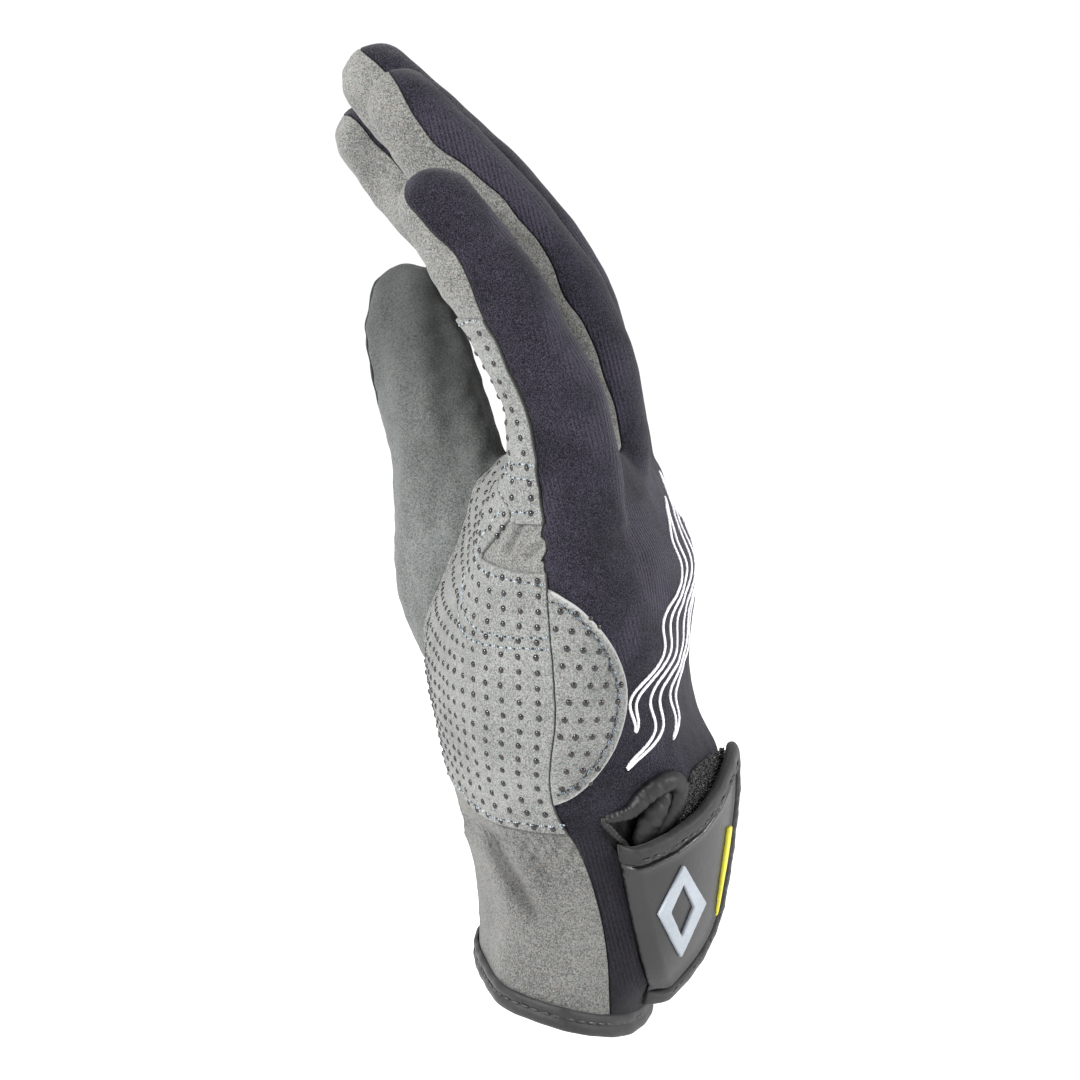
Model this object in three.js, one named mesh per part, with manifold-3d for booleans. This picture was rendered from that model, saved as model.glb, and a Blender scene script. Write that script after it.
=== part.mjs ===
// Left-hand diving glove, size L, hollow, held up by its open wrist.
// Millimetres, +Z up to the fingertips, +X to the back of the hand, -Y to the little finger.
// The origin is the middle of the wrist opening.
import * as THREE from 'three';
import Module from 'manifold-3d';

const wasm = await Module();
wasm.setup();

// Sizes of the cloth and of the small gaps between pieces
const WALL = 2.0;
const SEAM_GAP = 0.3;
const PATCH_LIFT = 0.3;
const PATCH_THICK = 0.9;
const FINGER_SIDES = 12;
const FINGER_SIDES_INSIDE = 9;
const BODY_SIDES = 24;
const BODY_SIDES_INSIDE = 20;
const FOLD_SIDES = 6;
const FAR = 90;

// The hem falls steeply towards the back of the hand and hardly at all towards the palm
const HEM_BACK = -0.51;
const HEM_PALM = -0.04;
const HEM_BEND = 8;
const HEM_UP = 0.86;
const HEM_Y = 0.14;
const TAPE_WIDE = 4.3;
const TAPE_THICK = 1.1;
const TAPE_CLEAR = 0.25;

// Wrist and hand, one row for each level.
// back, backU, backR: x of the back at its middle, little-finger side and thumb side
// ulnX, ulnY: the little-finger edge; radX, radY: the thumb-side edge
// hyp, hollow, radP: x of the palm by the little finger, at the middle and on the thumb side
// ball, ballY: the ball of the thumb
const BODY_COLUMNS = ['z', 'back', 'backU', 'ulnX', 'ulnY', 'hyp', 'hollow', 'ball', 'ballY',
  'radP', 'radX', 'radY', 'backR'];
const BODY = [
  [-16, 15.5, 10.5, 0.0, 33.0, -12.5, -18.5, -20.0, 8, -13.5, 0.0, 33.0, 12.0],
  [-4, 22.4, 15.0, 0.5, 33.0, -12.5, -18.5, -20.0, 8, -13.5, 0.0, 33.0, 15.5],
  [4, 29.0, 19.5, 1.0, 33.0, -12.5, -18.5, -20.0, 8, -13.5, 0.0, 33.0, 19.0],
  [12, 32.6, 22.0, 1.0, 33.0, -12.5, -18.6, -19.9, 8, -13.5, 0.0, 33.0, 21.5],
  [24, 35.2, 24.0, 1.0, 33.5, -12.8, -19.6, -21.0, 9, -15.0, -1.0, 34.0, 23.5],
  [36, 36.6, 26.0, 1.0, 35.0, -13.7, -22.0, -24.3, 12, -17.5, -2.0, 36.0, 25.0],
  [46, 37.4, 26.5, 1.5, 38.0, -14.7, -24.6, -26.4, 15, -20.5, -2.0, 38.5, 26.5],
  [54, 36.6, 26.0, 2.0, 41.0, -15.7, -26.0, -27.6, 17, -22.5, -2.0, 40.5, 26.0],
  [61, 32.6, 24.0, 2.0, 43.0, -17.0, -27.4, -29.1, 18, -23.5, -1.5, 42.0, 25.5],
  [70, 30.3, 23.0, 2.5, 45.0, -18.3, -28.6, -31.2, 20, -24.5, 0.0, 44.0, 25.0],
  [82, 30.0, 22.5, 3.5, 46.5, -18.3, -27.8, -30.7, 21, -22.0, 2.0, 46.0, 25.5],
  [94, 31.2, 22.4, 4.0, 47.3, -17.2, -23.8, -25.5, 21, -18.5, 4.0, 47.0, 25.5],
  [104, 29.7, 19.9, 3.5, 47.5, -16.6, -20.6, -22.0, 20, -16.0, 5.0, 47.5, 24.0],
  [113, 24.8, 15.8, 2.0, 47.0, -15.4, -17.6, -19.5, 20, -13.0, 6.0, 47.5, 22.0],
  [121, 21.5, 13.5, 1.0, 46.5, -13.2, -12.0, -13.5, 20, -9.0, 6.0, 47.0, 19.0],
  [127, 16.5, 10.5, 0.5, 45.0, -9.5, -7.0, -7.0, 20, -5.0, 5.5, 46.0, 15.0],
  [131, 9.0, 6.0, 0.0, 43.5, -4.0, -2.0, -2.0, 20, -1.0, 5.0, 44.0, 9.0],
];

// Fingers and thumb, rows of x, y, z, half depth from palm to back, half breadth along Y
const FINGERS = {
  little: [
    [2.0, -35.5, 110, 12.5, 9.5], [-0.2, -36.0, 129, 12.0, 10.3], [-2.1, -36.5, 140, 11.0, 10.0],
    [-7.3, -37.0, 150, 10.1, 9.6], [-12.7, -37.6, 160, 10.3, 9.2], [-20.3, -38.4, 171, 10.4, 8.8],
    [-28.3, -39.2, 182.8, 9.0, 7.9],
  ],
  ring: [
    [7.0, -12.5, 108, 13.0, 10.5], [7.0, -12.6, 122, 13.0, 11.0], [6.3, -12.8, 135, 12.4, 10.8],
    [2.8, -13.2, 151.5, 11.7, 10.4], [-9.4, -13.9, 172, 11.1, 10.0], [-19.2, -14.4, 184.5, 10.4, 9.6],
    [-28.6, -14.9, 195, 9.9, 9.0], [-36.6, -15.3, 204.8, 8.6, 8.2],
  ],
  middle: [
    [9.0, 11.5, 107, 13.0, 11.0], [8.8, 11.5, 120, 12.8, 11.5], [6.0, 11.7, 139, 11.8, 11.0],
    [-0.1, 12.0, 160, 11.6, 10.6], [-14.2, 12.4, 181.3, 10.5, 10.2], [-29.2, 12.8, 196, 10.3, 9.6],
    [-43.4, 13.3, 210.3, 9.1, 8.6],
  ],
  index: [
    [6.0, 35.5, 106, 13.0, 11.0], [7.0, 36.0, 120, 12.8, 11.3], [2.0, 36.6, 140, 12.2, 10.8],
    [-8.0, 37.2, 156, 11.6, 10.4], [-18.6, 38.0, 168.5, 11.0, 10.2], [-30.4, 38.8, 179.5, 10.5, 9.8],
    [-39.2, 39.3, 189, 10.2, 9.2], [-46.4, 39.8, 196.8, 8.8, 8.4],
  ],
};
const THUMB = [
  [-3.0, 26.0, 45, 17.0, 9.0], [-14.6, 29.0, 75, 18.8, 13.5], [-22.0, 31.0, 91, 18.8, 14.0],
  [-26.4, 33.0, 110, 15.0, 13.0], [-28.9, 34.0, 123, 13.5, 12.0], [-32.3, 35.0, 135, 13.0, 11.5],
  [-35.5, 35.5, 146, 12.4, 11.0], [-37.6, 35.8, 156.2, 10.0, 9.3],
];

// Seam between suede and neoprene: how far it lies from each finger's middle line, towards the back.
// Columns: finger, y of the near side, shift there at base and tip, y of the far side, its shifts
const FINGER_SEAMS = [
  ['little', -46, -7.5, -4.0, -27.5, 4.5, 2.0],
  ['ring', -25, 4.5, 1.5, -2, 4.5, 1.5],
  ['middle', 0.5, 4.5, 4.6, 22.5, 4.5, 1.5],
  ['index', 25, 5.5, 2.2, 47, -6.0, -4.0],
];
const SEAM_TOP_OF_HAND = 127;
// The finger pieces start above the webs; each lies between two y
const FINGER_BASE_Z = 131.4;
const FINGER_BANDS = [
  ['little', -FAR, -24.9], ['ring', -24.9, -0.7], ['middle', -0.7, 23.8], ['index', 23.8, FAR],
];
// x of the same seam on the two edges of the hand, rows of z, little-finger side, thumb side
const EDGE_SEAMS = [
  [-20, 11.0, 11.0], [0, 10.5, 10.5], [9, 10.2, 9.5], [23, 8.0, 6.0], [37, 3.2, 0.0],
  [43, -0.6, -2.0], [72, -2.0, -4.0], [100, -4.0, -2.5], [113, -4.6, 0.0], [127, -7.4, 1.0],
];

// Outline of the thumb piece seen from the little-finger side, x and z; it is cut where y > THUMB_CUT_Y
const THUMB_CUT_Y = 3;
const THUMB_OUTLINE = [
  [-12.0, 123.5], [-15.5, 119.5], [-20.8, 115], [-22.3, 110], [-24.6, 103], [-27.2, 96], [-31.2, 87],
  [-33.4, 79], [-33.4, 69], [-60, 62], [-60, 169.5], [-38, 169.3], [-33.5, 167], [-31.3, 165],
  [-26.6, 160], [-22.8, 155], [-19.4, 149.5], [-16.6, 140.5], [-14.4, 131.5],
];
const THUMB_SPLIT_Y = 3.0;

// Dotted patch on the palm: outline in y and z
const PALM_PATCH = [
  [-60, 40.5], [-38, 40.5], [-25, 41.5], [-12, 44.5], [0, 47], [12, 48], [31, 47.5], [33, 80], [35, 112],
  [33, 121.5], [8, 122], [-20, 121.3], [-32, 120], [-38.5, 117], [-40.5, 114], [-37.5, 108], [-33, 103.6],
  [-40, 102.1], [-60, 100.9],
];
// Dotted patch on the little finger: outline in x and z
const FINGER_PATCH = [[-40, 158], [-23.6, 158.2], [6, 158.6], [6, 113], [-10, 112.2], [-40, 114]];
const FINGER_PATCH_Y = -27;
// Half-moon patch on the little-finger edge: outline in x and z
const EDGE_PATCH = [
  [-9, 98.5], [-3.8, 98], [0, 96], [3.4, 93.7], [8.5, 88], [11.9, 81.7], [13.7, 74.8], [13.3, 68],
  [10.6, 60], [5.7, 53.1], [-0.4, 48.3], [-9, 47],
];

// Slit in the cuff, with its folded gusset; outline of the slit in x and z
const SLIT = [
  [8.8, 43.6], [13.5, 45], [17, 49], [20.5, 51.8], [24.5, 52], [26, 48], [25, 42], [22, 36], [14, 33.5],
];
const GUSSET_THICK = 0.8;
// Folds of the gusset: x, z, how far out of the cuff, half thickness
const GUSSET_FOLDS = [
  [[8.6, 42.6, -0.2, 1.0], [13.2, 45.0, 0.1, 1.8], [17.0, 49.4, 0.2, 2.3], [21.0, 52.3, 0.3, 2.6],
    [24.8, 52.2, 0.3, 2.5], [26.4, 49.0, 0.2, 2.4], [25.6, 44.4, -0.1, 2.1], [22.6, 39.6, -0.6, 1.8]],
  [[23.4, 48.6, -0.8, 1.6], [20.6, 46.0, -0.4, 2.2], [17.4, 41.6, -0.4, 2.4], [15.2, 37.6, -0.8, 1.8]],
];

const OUT_OF_CUFF = new THREE.Vector3(0.5, -0.86, 0);

// Strap: sewn end, top and lower edge in x and z, its free end, and layers measured out of the cuff
const STRAP_SEWN = [[18.2, -4], [19.3, 1.5], [17.5, 8.4], [15.1, 19], [13.3, 28.3], [12.1, 36]];
const STRAP_TOP = [[12.1, 36], [16.5, 36.6], [22.2, 38.8], [28.5, 42.6], [32.2, 46.6], [36.5, 54], [41, 60],
  [60, 72]];
const STRAP_LOW = [[-5, -5.5], [14.7, -4.6], [19.4, -3.6], [21.4, -2.2], [23.1, -0.4], [24.7, 1.2],
  [26.8, 2.4], [30.1, 4.4], [32.7, 7.2], [34.2, 10.4], [60, 40]];
const STRAP_END_Y = -1.5;
const STRAP_IN = 2.5;
const STRAP_OUT = 4.2;
const STRAP_TAPE_WIDE = 3.4;
const STRAP_TAPE_OVER = 0.55;
const STRAP_TAPE_PAST = 1.1;
const LOOP_PATCH = [[24, 33], [40, 33], [48, 47], [39, 52.5], [33.5, 54.5], [29.3, 53], [27.5, 49]];
const LOOP_IN = 0.3;
const LOOP_OUT = 1.9;
const BAR_LIFT = 0.15;
const BAR_THICK = 0.8;
// Raised shapes on the strap: outlines in x and z
const LOZENGE = [[27, 9], [33, 20.5], [27.5, 32], [21.5, 20.5]];
const LOZENGE_EYE = [[27.1, 14], [30, 20.5], [27.4, 27], [24.5, 20.5]];
const YELLOW_BAR = [[35.6, 14.5], [39.7, 14.5], [42.5, 37], [38.6, 37]];

// Shapes to closed solids
const TINY = 1e-4;

function solid(points, faces) {
  const vertProperties = new Float32Array(points.length * 3);
  points.forEach((p, i) => vertProperties.set([p.x, p.y, p.z], i * 3));
  let volume = 0;
  for (const [a, b, c] of faces) {
    volume += points[a].dot(points[b].clone().cross(points[c]));
  }
  const turned = volume < 0 ? faces.map(([a, b, c]) => [a, c, b]) : faces;
  const triVerts = new Uint32Array(turned.flat());
  return new wasm.Manifold(new wasm.Mesh({ numProp: 3, vertProperties, triVerts }));
}

function loft(rings) {
  const points = rings.flat();
  const n = rings[0].length;
  const faces = [];
  for (let r = 0; r < rings.length - 1; r += 1) {
    for (let i = 0; i < n; i += 1) {
      const j = (i + 1) % n;
      const a = r * n + i;
      const b = r * n + j;
      faces.push([a, b, b + n], [a, b + n, a + n]);
    }
  }
  for (const [r, flip] of [[0, true], [rings.length - 1, false]]) {
    const middle = new THREE.Vector3();
    rings[r].forEach((p) => middle.addScaledVector(p, 1 / n));
    points.push(middle);
    for (let i = 0; i < n; i += 1) {
      const a = r * n + i;
      const b = r * n + ((i + 1) % n);
      faces.push(flip ? [points.length - 1, b, a] : [points.length - 1, a, b]);
    }
  }
  return solid(points, faces);
}

function fromGeometry(geometry) {
  const plain = geometry.index ? geometry.toNonIndexed() : geometry;
  const p = plain.getAttribute('position');
  const seen = new Map();
  const points = [];
  const ids = [];
  for (let i = 0; i < p.count; i += 1) {
    const v = new THREE.Vector3().fromBufferAttribute(p, i);
    const key = [v.x, v.y, v.z].map((c) => Math.round(c / TINY)).join(' ');
    if (!seen.has(key)) {
      seen.set(key, points.length);
      points.push(v);
    }
    ids.push(seen.get(key));
  }
  const faces = [];
  for (let i = 0; i < ids.length; i += 3) {
    const [a, b, c] = [ids[i], ids[i + 1], ids[i + 2]];
    if (a !== b && b !== c && c !== a) {
      faces.push([a, b, c]);
    }
  }
  return solid(points, faces);
}

// A prism whose outline is given in x and z, running along Y
function prismY(outline, y0, y1) {
  const shape = new THREE.Shape(outline.map(([x, z]) => new THREE.Vector2(x, z)));
  const geometry = new THREE.ExtrudeGeometry(shape, { depth: y1 - y0, bevelEnabled: false });
  geometry.rotateX(Math.PI / 2);
  geometry.translate(0, y1, 0);
  return fromGeometry(geometry);
}

// A prism whose outline is given in y and z, running along X
function prismX(outline, x0, x1) {
  const shape = new THREE.Shape(outline.map(([y, z]) => new THREE.Vector2(y, z)));
  const geometry = new THREE.ExtrudeGeometry(shape, { depth: x1 - x0, bevelEnabled: false });
  geometry.applyMatrix4(new THREE.Matrix4().set(0, 0, 1, x0, 1, 0, 0, 0, 0, 1, 0, 0, 0, 0, 0, 1));
  return fromGeometry(geometry);
}

// Everything between a sheet, given as a height over one of the three planes, and a far flat face
function block(axis, height, us, vs, far) {
  const points = [];
  const place = {
    x: (u, v, h) => new THREE.Vector3(h, u, v),
    y: (u, v, h) => new THREE.Vector3(u, h, v),
    z: (u, v, h) => new THREE.Vector3(u, v, h),
  }[axis];
  for (const side of [0, 1]) {
    for (const v of vs) {
      for (const u of us) {
        points.push(place(u, v, side ? far : height(u, v)));
      }
    }
  }
  const w = us.length;
  const layer = us.length * vs.length;
  const faces = [];
  const quad = (a, b, c, d) => faces.push([a, b, c], [a, c, d]);
  for (let v = 0; v < vs.length - 1; v += 1) {
    for (let u = 0; u < w - 1; u += 1) {
      const a = v * w + u;
      quad(a, a + 1, a + 1 + w, a + w);
      quad(layer + a, layer + a + w, layer + a + 1 + w, layer + a + 1);
    }
  }
  for (let u = 0; u < w - 1; u += 1) {
    quad(u, u + layer, u + 1 + layer, u + 1);
    const a = (vs.length - 1) * w + u;
    quad(a, a + 1, a + 1 + layer, a + layer);
  }
  for (let v = 0; v < vs.length - 1; v += 1) {
    const a = v * w;
    quad(a, a + w, a + w + layer, a + layer);
    const b = v * w + w - 1;
    quad(b, b + layer, b + w + layer, b + w);
  }
  return solid(points, faces);
}

function hemZ(x, y) {
  const bend = Math.hypot(x, HEM_BEND) - HEM_BEND;
  return HEM_UP + HEM_Y * y + ((HEM_BACK + HEM_PALM) / 2) * x + ((HEM_BACK - HEM_PALM) / 2) * bend;
}

const HEM_US = [-FAR, -20, -8, 0, 8, 20, FAR];
const aboveHem = (lift) => block('z', (x, y) => hemZ(x, y) + lift, HEM_US, [-FAR, FAR], 300);
const range = (from, to, step) => {
  const list = [];
  for (let v = from; v < to - TINY; v += step) {
    list.push(v);
  }
  return [...list, to];
};

function between(rows, at, column) {
  if (at <= rows[0][0]) {
    return rows[0][column];
  }
  for (let i = 1; i < rows.length; i += 1) {
    if (at <= rows[i][0]) {
      const f = (at - rows[i - 1][0]) / (rows[i][0] - rows[i - 1][0]);
      return THREE.MathUtils.lerp(rows[i - 1][column], rows[i][column], f);
    }
  }
  return rows[rows.length - 1][column];
}

// Outer shape of the hand, the fingers and the thumb, each grown or shrunk by one amount
function bodyRing(row, grow) {
  const r = Object.fromEntries(BODY_COLUMNS.map((name, i) => [name, row[i]]));
  const corners = [
    [r.back, 3], [r.backU, -0.66 * r.ulnY], [r.ulnX, -r.ulnY], [r.hyp, -0.78 * r.ulnY],
    [r.hollow, -0.22 * r.ulnY], [r.ball, r.ballY], [r.radP, 0.8 * r.radY], [r.radX, r.radY],
    [r.backR, 0.72 * r.radY],
  ].map(([x, y]) => new THREE.Vector3(x, y, r.z));
  const curve = new THREE.CatmullRomCurve3(corners, true, 'centripetal');
  const ring = [];
  const sides = grow < 0 ? BODY_SIDES_INSIDE : BODY_SIDES;
  for (let i = 0; i < sides; i += 1) {
    const point = curve.getPoint(i / sides);
    const along = curve.getTangent(i / sides);
    ring.push(new THREE.Vector3(point.x + along.y * -grow, point.y + along.x * grow, r.z));
  }
  return ring;
}

function handBody(grow, rows = BODY) {
  return loft(rows.map((row, i) => {
    const ring = bodyRing(row, grow);
    const last = rows === BODY && i === rows.length - 1;
    ring.forEach((p) => {
      p.z += last ? grow : 0;
    });
    return ring;
  }));
}

const CAP_ANGLES = [32, 64];
function finger(rows, grow) {
  const sides = grow < 0 ? FINGER_SIDES_INSIDE : FINGER_SIDES;
  const spine = new THREE.CatmullRomCurve3(rows.map(([x, y, z]) => new THREE.Vector3(x, y, z)));
  const ringAt = (centre, along, deep, wide) => {
    const across = new THREE.Vector3(0, 1, 0).addScaledVector(along, -along.y).normalize();
    const out = new THREE.Vector3().crossVectors(across, along);
    const ring = [];
    for (let i = 0; i < sides; i += 1) {
      const a = (i / sides) * 2 * Math.PI;
      ring.push(centre.clone().addScaledVector(across, wide * Math.cos(a))
        .addScaledVector(out, deep * Math.sin(a)));
    }
    return ring;
  };
  const rings = rows.map(([x, y, z, deep, wide], i) => {
    const along = spine.getTangent(i / (rows.length - 1));
    return ringAt(new THREE.Vector3(x, y, z), along, deep + grow, wide + grow);
  });
  const [x, y, z, deep, wide] = rows[rows.length - 1];
  const along = spine.getTangent(1);
  for (const degrees of CAP_ANGLES) {
    const a = THREE.MathUtils.degToRad(degrees);
    const centre = new THREE.Vector3(x, y, z).addScaledVector(along, (deep + grow) * Math.sin(a));
    rings.push(ringAt(centre, along, (deep + grow) * Math.cos(a), (wide + grow) * Math.cos(a)));
  }
  return loft(rings);
}

function glove(grow, names = Object.keys(FINGERS)) {
  let all = handBody(grow).add(finger(THUMB, grow));
  for (const name of names) {
    all = all.add(finger(FINGERS[name], grow));
  }
  return all;
}

const layer = (inner, outer, names) => glove(outer, names).subtract(glove(inner, names));
const skin = (inner, outer) => handBody(outer).subtract(handBody(inner));

// x of the seam sheet that parts the palm from the back of the hand
function spineX(rows, z) {
  const last = rows.length - 1;
  if (z > rows[last][2]) {
    const slope = (rows[last][0] - rows[last - 1][0]) / (rows[last][2] - rows[last - 1][2]);
    return rows[last][0] + slope * (z - rows[last][2]);
  }
  return between(rows.map((row) => [row[2], row[0]]), z, 1);
}

function seamX(y, z) {
  const stations = [];
  for (const [name, nearY, nearBase, nearTip, farY, farBase, farTip] of FINGER_SEAMS) {
    const rows = FINGERS[name];
    const tipZ = rows[rows.length - 1][2];
    const f = THREE.MathUtils.clamp((z - SEAM_TOP_OF_HAND) / (tipZ - SEAM_TOP_OF_HAND), 0, 1);
    const middle = spineX(rows, Math.max(z, SEAM_TOP_OF_HAND));
    stations.push([nearY, middle + THREE.MathUtils.lerp(nearBase, nearTip, f)]);
    stations.push([farY, middle + THREE.MathUtils.lerp(farBase, farTip, f)]);
  }
  if (z < SEAM_TOP_OF_HAND) {
    const near = between(EDGE_SEAMS, z, 1);
    const far = between(EDGE_SEAMS, z, 2);
    const open = THREE.MathUtils.clamp((SEAM_TOP_OF_HAND - z) / 6, 0, 1);
    stations.forEach((s) => {
      const flat = THREE.MathUtils.mapLinear(s[0], -46, 47, near, far);
      s[1] = THREE.MathUtils.lerp(s[1], flat, open);
    });
    stations[0][1] = near;
    stations[stations.length - 1][1] = far;
  }
  return between(stations, y, 1);
}

const SEAM_US = [-FAR, -46, -27.5, -25, -2, 0.5, 22.5, 25, 47, FAR];
const SEAM_VS = [-40, 9, 23, 37, 43, 72, 100, 113, 121, 127, ...range(140, 226, 14)];
const palmSide = (shift) => block('x', (y, z) => seamX(y, z) + shift, SEAM_US, SEAM_VS, -FAR);
const backSide = (shift) => block('x', (y, z) => seamX(y, z) + shift, SEAM_US, SEAM_VS, FAR);

// An outline moved outwards by one amount, corner by corner
function widen(outline, by) {
  const turn = THREE.ShapeUtils.area(outline.map(([x, z]) => new THREE.Vector2(x, z))) > 0 ? 1 : -1;
  const n = outline.length;
  const normal = (a, b) => new THREE.Vector2(b[1] - a[1], a[0] - b[0]).normalize().multiplyScalar(turn);
  return outline.map((point, i) => {
    const before = normal(outline[(i + n - 1) % n], point);
    const after = normal(point, outline[(i + 1) % n]);
    const both = before.clone().add(after);
    both.multiplyScalar((2 * by) / both.lengthSq());
    return [point[0] + both.x, point[1] + both.y];
  });
}

function biggest(body) {
  return body.decompose().sort((a, b) => b.volume() - a.volume())[0];
}

// Pieces
const shell = glove(0).subtract(glove(-WALL)).intersect(aboveHem(0));
const thumbZone = (by) => prismY(widen(THUMB_OUTLINE, by), THUMB_CUT_Y - by, FAR);
const hand = shell.subtract(thumbZone(SEAM_GAP / 2));
const thumb = shell.intersect(thumbZone(-SEAM_GAP / 2));
const thumbY = (x, z) => between(THUMB.map((row) => [row[2], row[1]]), z, 1) + THUMB_SPLIT_Y;
const thumbSheet = (shift, far) => block('y', (x, z) => thumbY(x, z) + shift, [-FAR, FAR],
  [0, 45, 75, 91, 110, 123, 135, 147, 156.5, 190], far);

// The folded gusset fills the slit from inside
function cuffPoint(x, z, out) {
  const row = BODY_COLUMNS.map((name, i) => between(BODY, z, i));
  row[0] = z;
  const ring = bodyRing(row, out).filter((p) => p.y < 0 && p.x > 0);
  let best = ring[0];
  for (let i = 1; i < ring.length; i += 1) {
    const [a, b] = [ring[i - 1], ring[i]];
    if ((a.x - x) * (b.x - x) <= 0 && Math.abs(a.x - b.x) > TINY) {
      best = a.clone().lerp(b, (x - a.x) / (b.x - a.x));
    }
  }
  return best;
}

function fold(rows, grow) {
  const points = rows.map(([x, z, out]) => cuffPoint(x, z, out));
  const curve = new THREE.CatmullRomCurve3(points);
  const rings = [];
  const steps = rows.length * 2;
  for (let i = 0; i <= steps; i += 1) {
    const t = i / steps;
    const along = curve.getTangent(t);
    const across = OUT_OF_CUFF.clone().addScaledVector(along, -along.dot(OUT_OF_CUFF)).normalize();
    const side = new THREE.Vector3().crossVectors(along, across);
    const k = t * (rows.length - 1);
    const a = Math.min(Math.floor(k), rows.length - 2);
    const r = THREE.MathUtils.lerp(rows[a][3], rows[a + 1][3], k - a) + grow;
    const ring = [];
    for (let j = 0; j < FOLD_SIDES; j += 1) {
      const angle = (j / FOLD_SIDES) * 2 * Math.PI;
      ring.push(curve.getPoint(t).addScaledVector(across, r * Math.cos(angle))
        .addScaledVector(side, r * Math.sin(angle)));
    }
    rings.push(ring);
  }
  return loft(rings);
}

const folds = (grow) => fold(GUSSET_FOLDS[0], grow).add(fold(GUSSET_FOLDS[1], grow));
const membrane = skin(-WALL - SEAM_GAP - GUSSET_THICK, -WALL - SEAM_GAP)
  .intersect(prismY(widen(SLIT, 3), -FAR, -6));
const gusset = membrane.add(folds(0));
const back = hand.intersect(backSide(SEAM_GAP / 2)).subtract(prismY(SLIT, -FAR, -6))
  .subtract(folds(SEAM_GAP));
const palm = hand.intersect(palmSide(-SEAM_GAP / 2));
const band = (y0, y1, z0, z1) => prismX([[y0, z0], [y1, z0], [y1, z1], [y0, z1]], -FAR, FAR);
const belowFingers = band(-FAR, FAR, -FAR, FINGER_BASE_Z - SEAM_GAP / 2);
const fingerBand = (y0, y1) => band(y0, y1, FINGER_BASE_Z + SEAM_GAP / 2, 300);

// Patches lie on the cloth
const PATCH_TOP = PATCH_LIFT + PATCH_THICK;
const palmPatch = layer(PATCH_LIFT, PATCH_TOP, ['ring', 'middle']).intersect(prismX(PALM_PATCH, -FAR, 12))
  .intersect(palmSide(-0.6)).subtract(thumbZone(0.6));
const littlePatch = layer(PATCH_LIFT, PATCH_TOP, ['little', 'ring'])
  .intersect(prismY(FINGER_PATCH, -FAR, FINGER_PATCH_Y)).intersect(palmSide(-0.6))
  .subtract(prismX(widen(PALM_PATCH, SEAM_GAP), -FAR, FAR));
const edgePatch = skin(PATCH_LIFT, PATCH_TOP).intersect(prismY(EDGE_PATCH, -FAR, -20))
  .intersect(backSide(0.6));
const loopPatch = skin(LOOP_IN, LOOP_OUT).intersect(prismY(LOOP_PATCH, -30, 3)).subtract(folds(SEAM_GAP));

// Tape folded around the hem
const CUFF_ROWS = BODY.filter((row) => row[0] <= 24);
const cuff = (grow) => handBody(grow, CUFF_ROWS);
const tapeOut = TAPE_CLEAR + TAPE_THICK;
const hemTape = cuff(tapeOut).subtract(cuff(-WALL - tapeOut))
  .intersect(aboveHem(-tapeOut)).subtract(aboveHem(TAPE_WIDE))
  .subtract(cuff(TAPE_CLEAR).subtract(cuff(-WALL - TAPE_CLEAR)).intersect(aboveHem(-TAPE_CLEAR)));

// Strap over the back of the wrist
function strapZone(past, sewnPast) {
  const top = STRAP_TOP.map(([x, z], i) => [x - (i ? 0 : sewnPast), z + past]);
  const sewn = STRAP_SEWN.map(([x, z]) => [x - sewnPast, z]);
  sewn[0][1] -= 20;
  const outline = [...sewn.slice(0, -1), ...top, [60, sewn[0][1]]];
  const low = STRAP_LOW.map(([x, z]) => [x, z - past]);
  return prismY(outline, -FAR, STRAP_END_Y + past)
    .intersect(prismY([...low, [60, FAR], [low[0][0], FAR]], -FAR, FAR));
}
const CUFF_SKIN_ROWS = BODY.filter((row) => row[0] <= 70);
const cuffSkin = (inner, outer) => handBody(outer, CUFF_SKIN_ROWS).subtract(handBody(inner, CUFF_SKIN_ROWS));
const strap = cuffSkin(STRAP_IN, STRAP_OUT).intersect(strapZone(0, 0));
const strapTape = cuffSkin(STRAP_IN - STRAP_TAPE_OVER, STRAP_OUT + STRAP_TAPE_OVER)
  .intersect(strapZone(STRAP_TAPE_PAST, 0))
  .subtract(cuffSkin(STRAP_IN - 0.2, STRAP_OUT + 0.2).intersect(strapZone(0.2, 5)))
  .subtract(strapZone(-STRAP_TAPE_WIDE, 5));
const bar = (outline) => cuffSkin(STRAP_OUT + BAR_LIFT, STRAP_OUT + BAR_LIFT + BAR_THICK)
  .intersect(prismY(outline, -FAR, FAR)).intersect(strapZone(-STRAP_TAPE_WIDE - 1, 0));

const part = new THREE.Group();
part.name = 'diving_glove';

function addPiece(name, body, colour, roughness) {
  const mesh = biggest(body).getMesh();
  const geometry = new THREE.BufferGeometry();
  geometry.setAttribute('position', new THREE.BufferAttribute(new Float32Array(mesh.vertProperties), 3));
  geometry.setIndex(new THREE.BufferAttribute(new Uint32Array(mesh.triVerts), 1));
  const material = new THREE.MeshStandardMaterial({ color: colour, roughness, metalness: 0 });
  material.name = `${name}_finish`;
  const piece = new THREE.Mesh(geometry, material);
  piece.name = name;
  part.add(piece);
}

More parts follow.
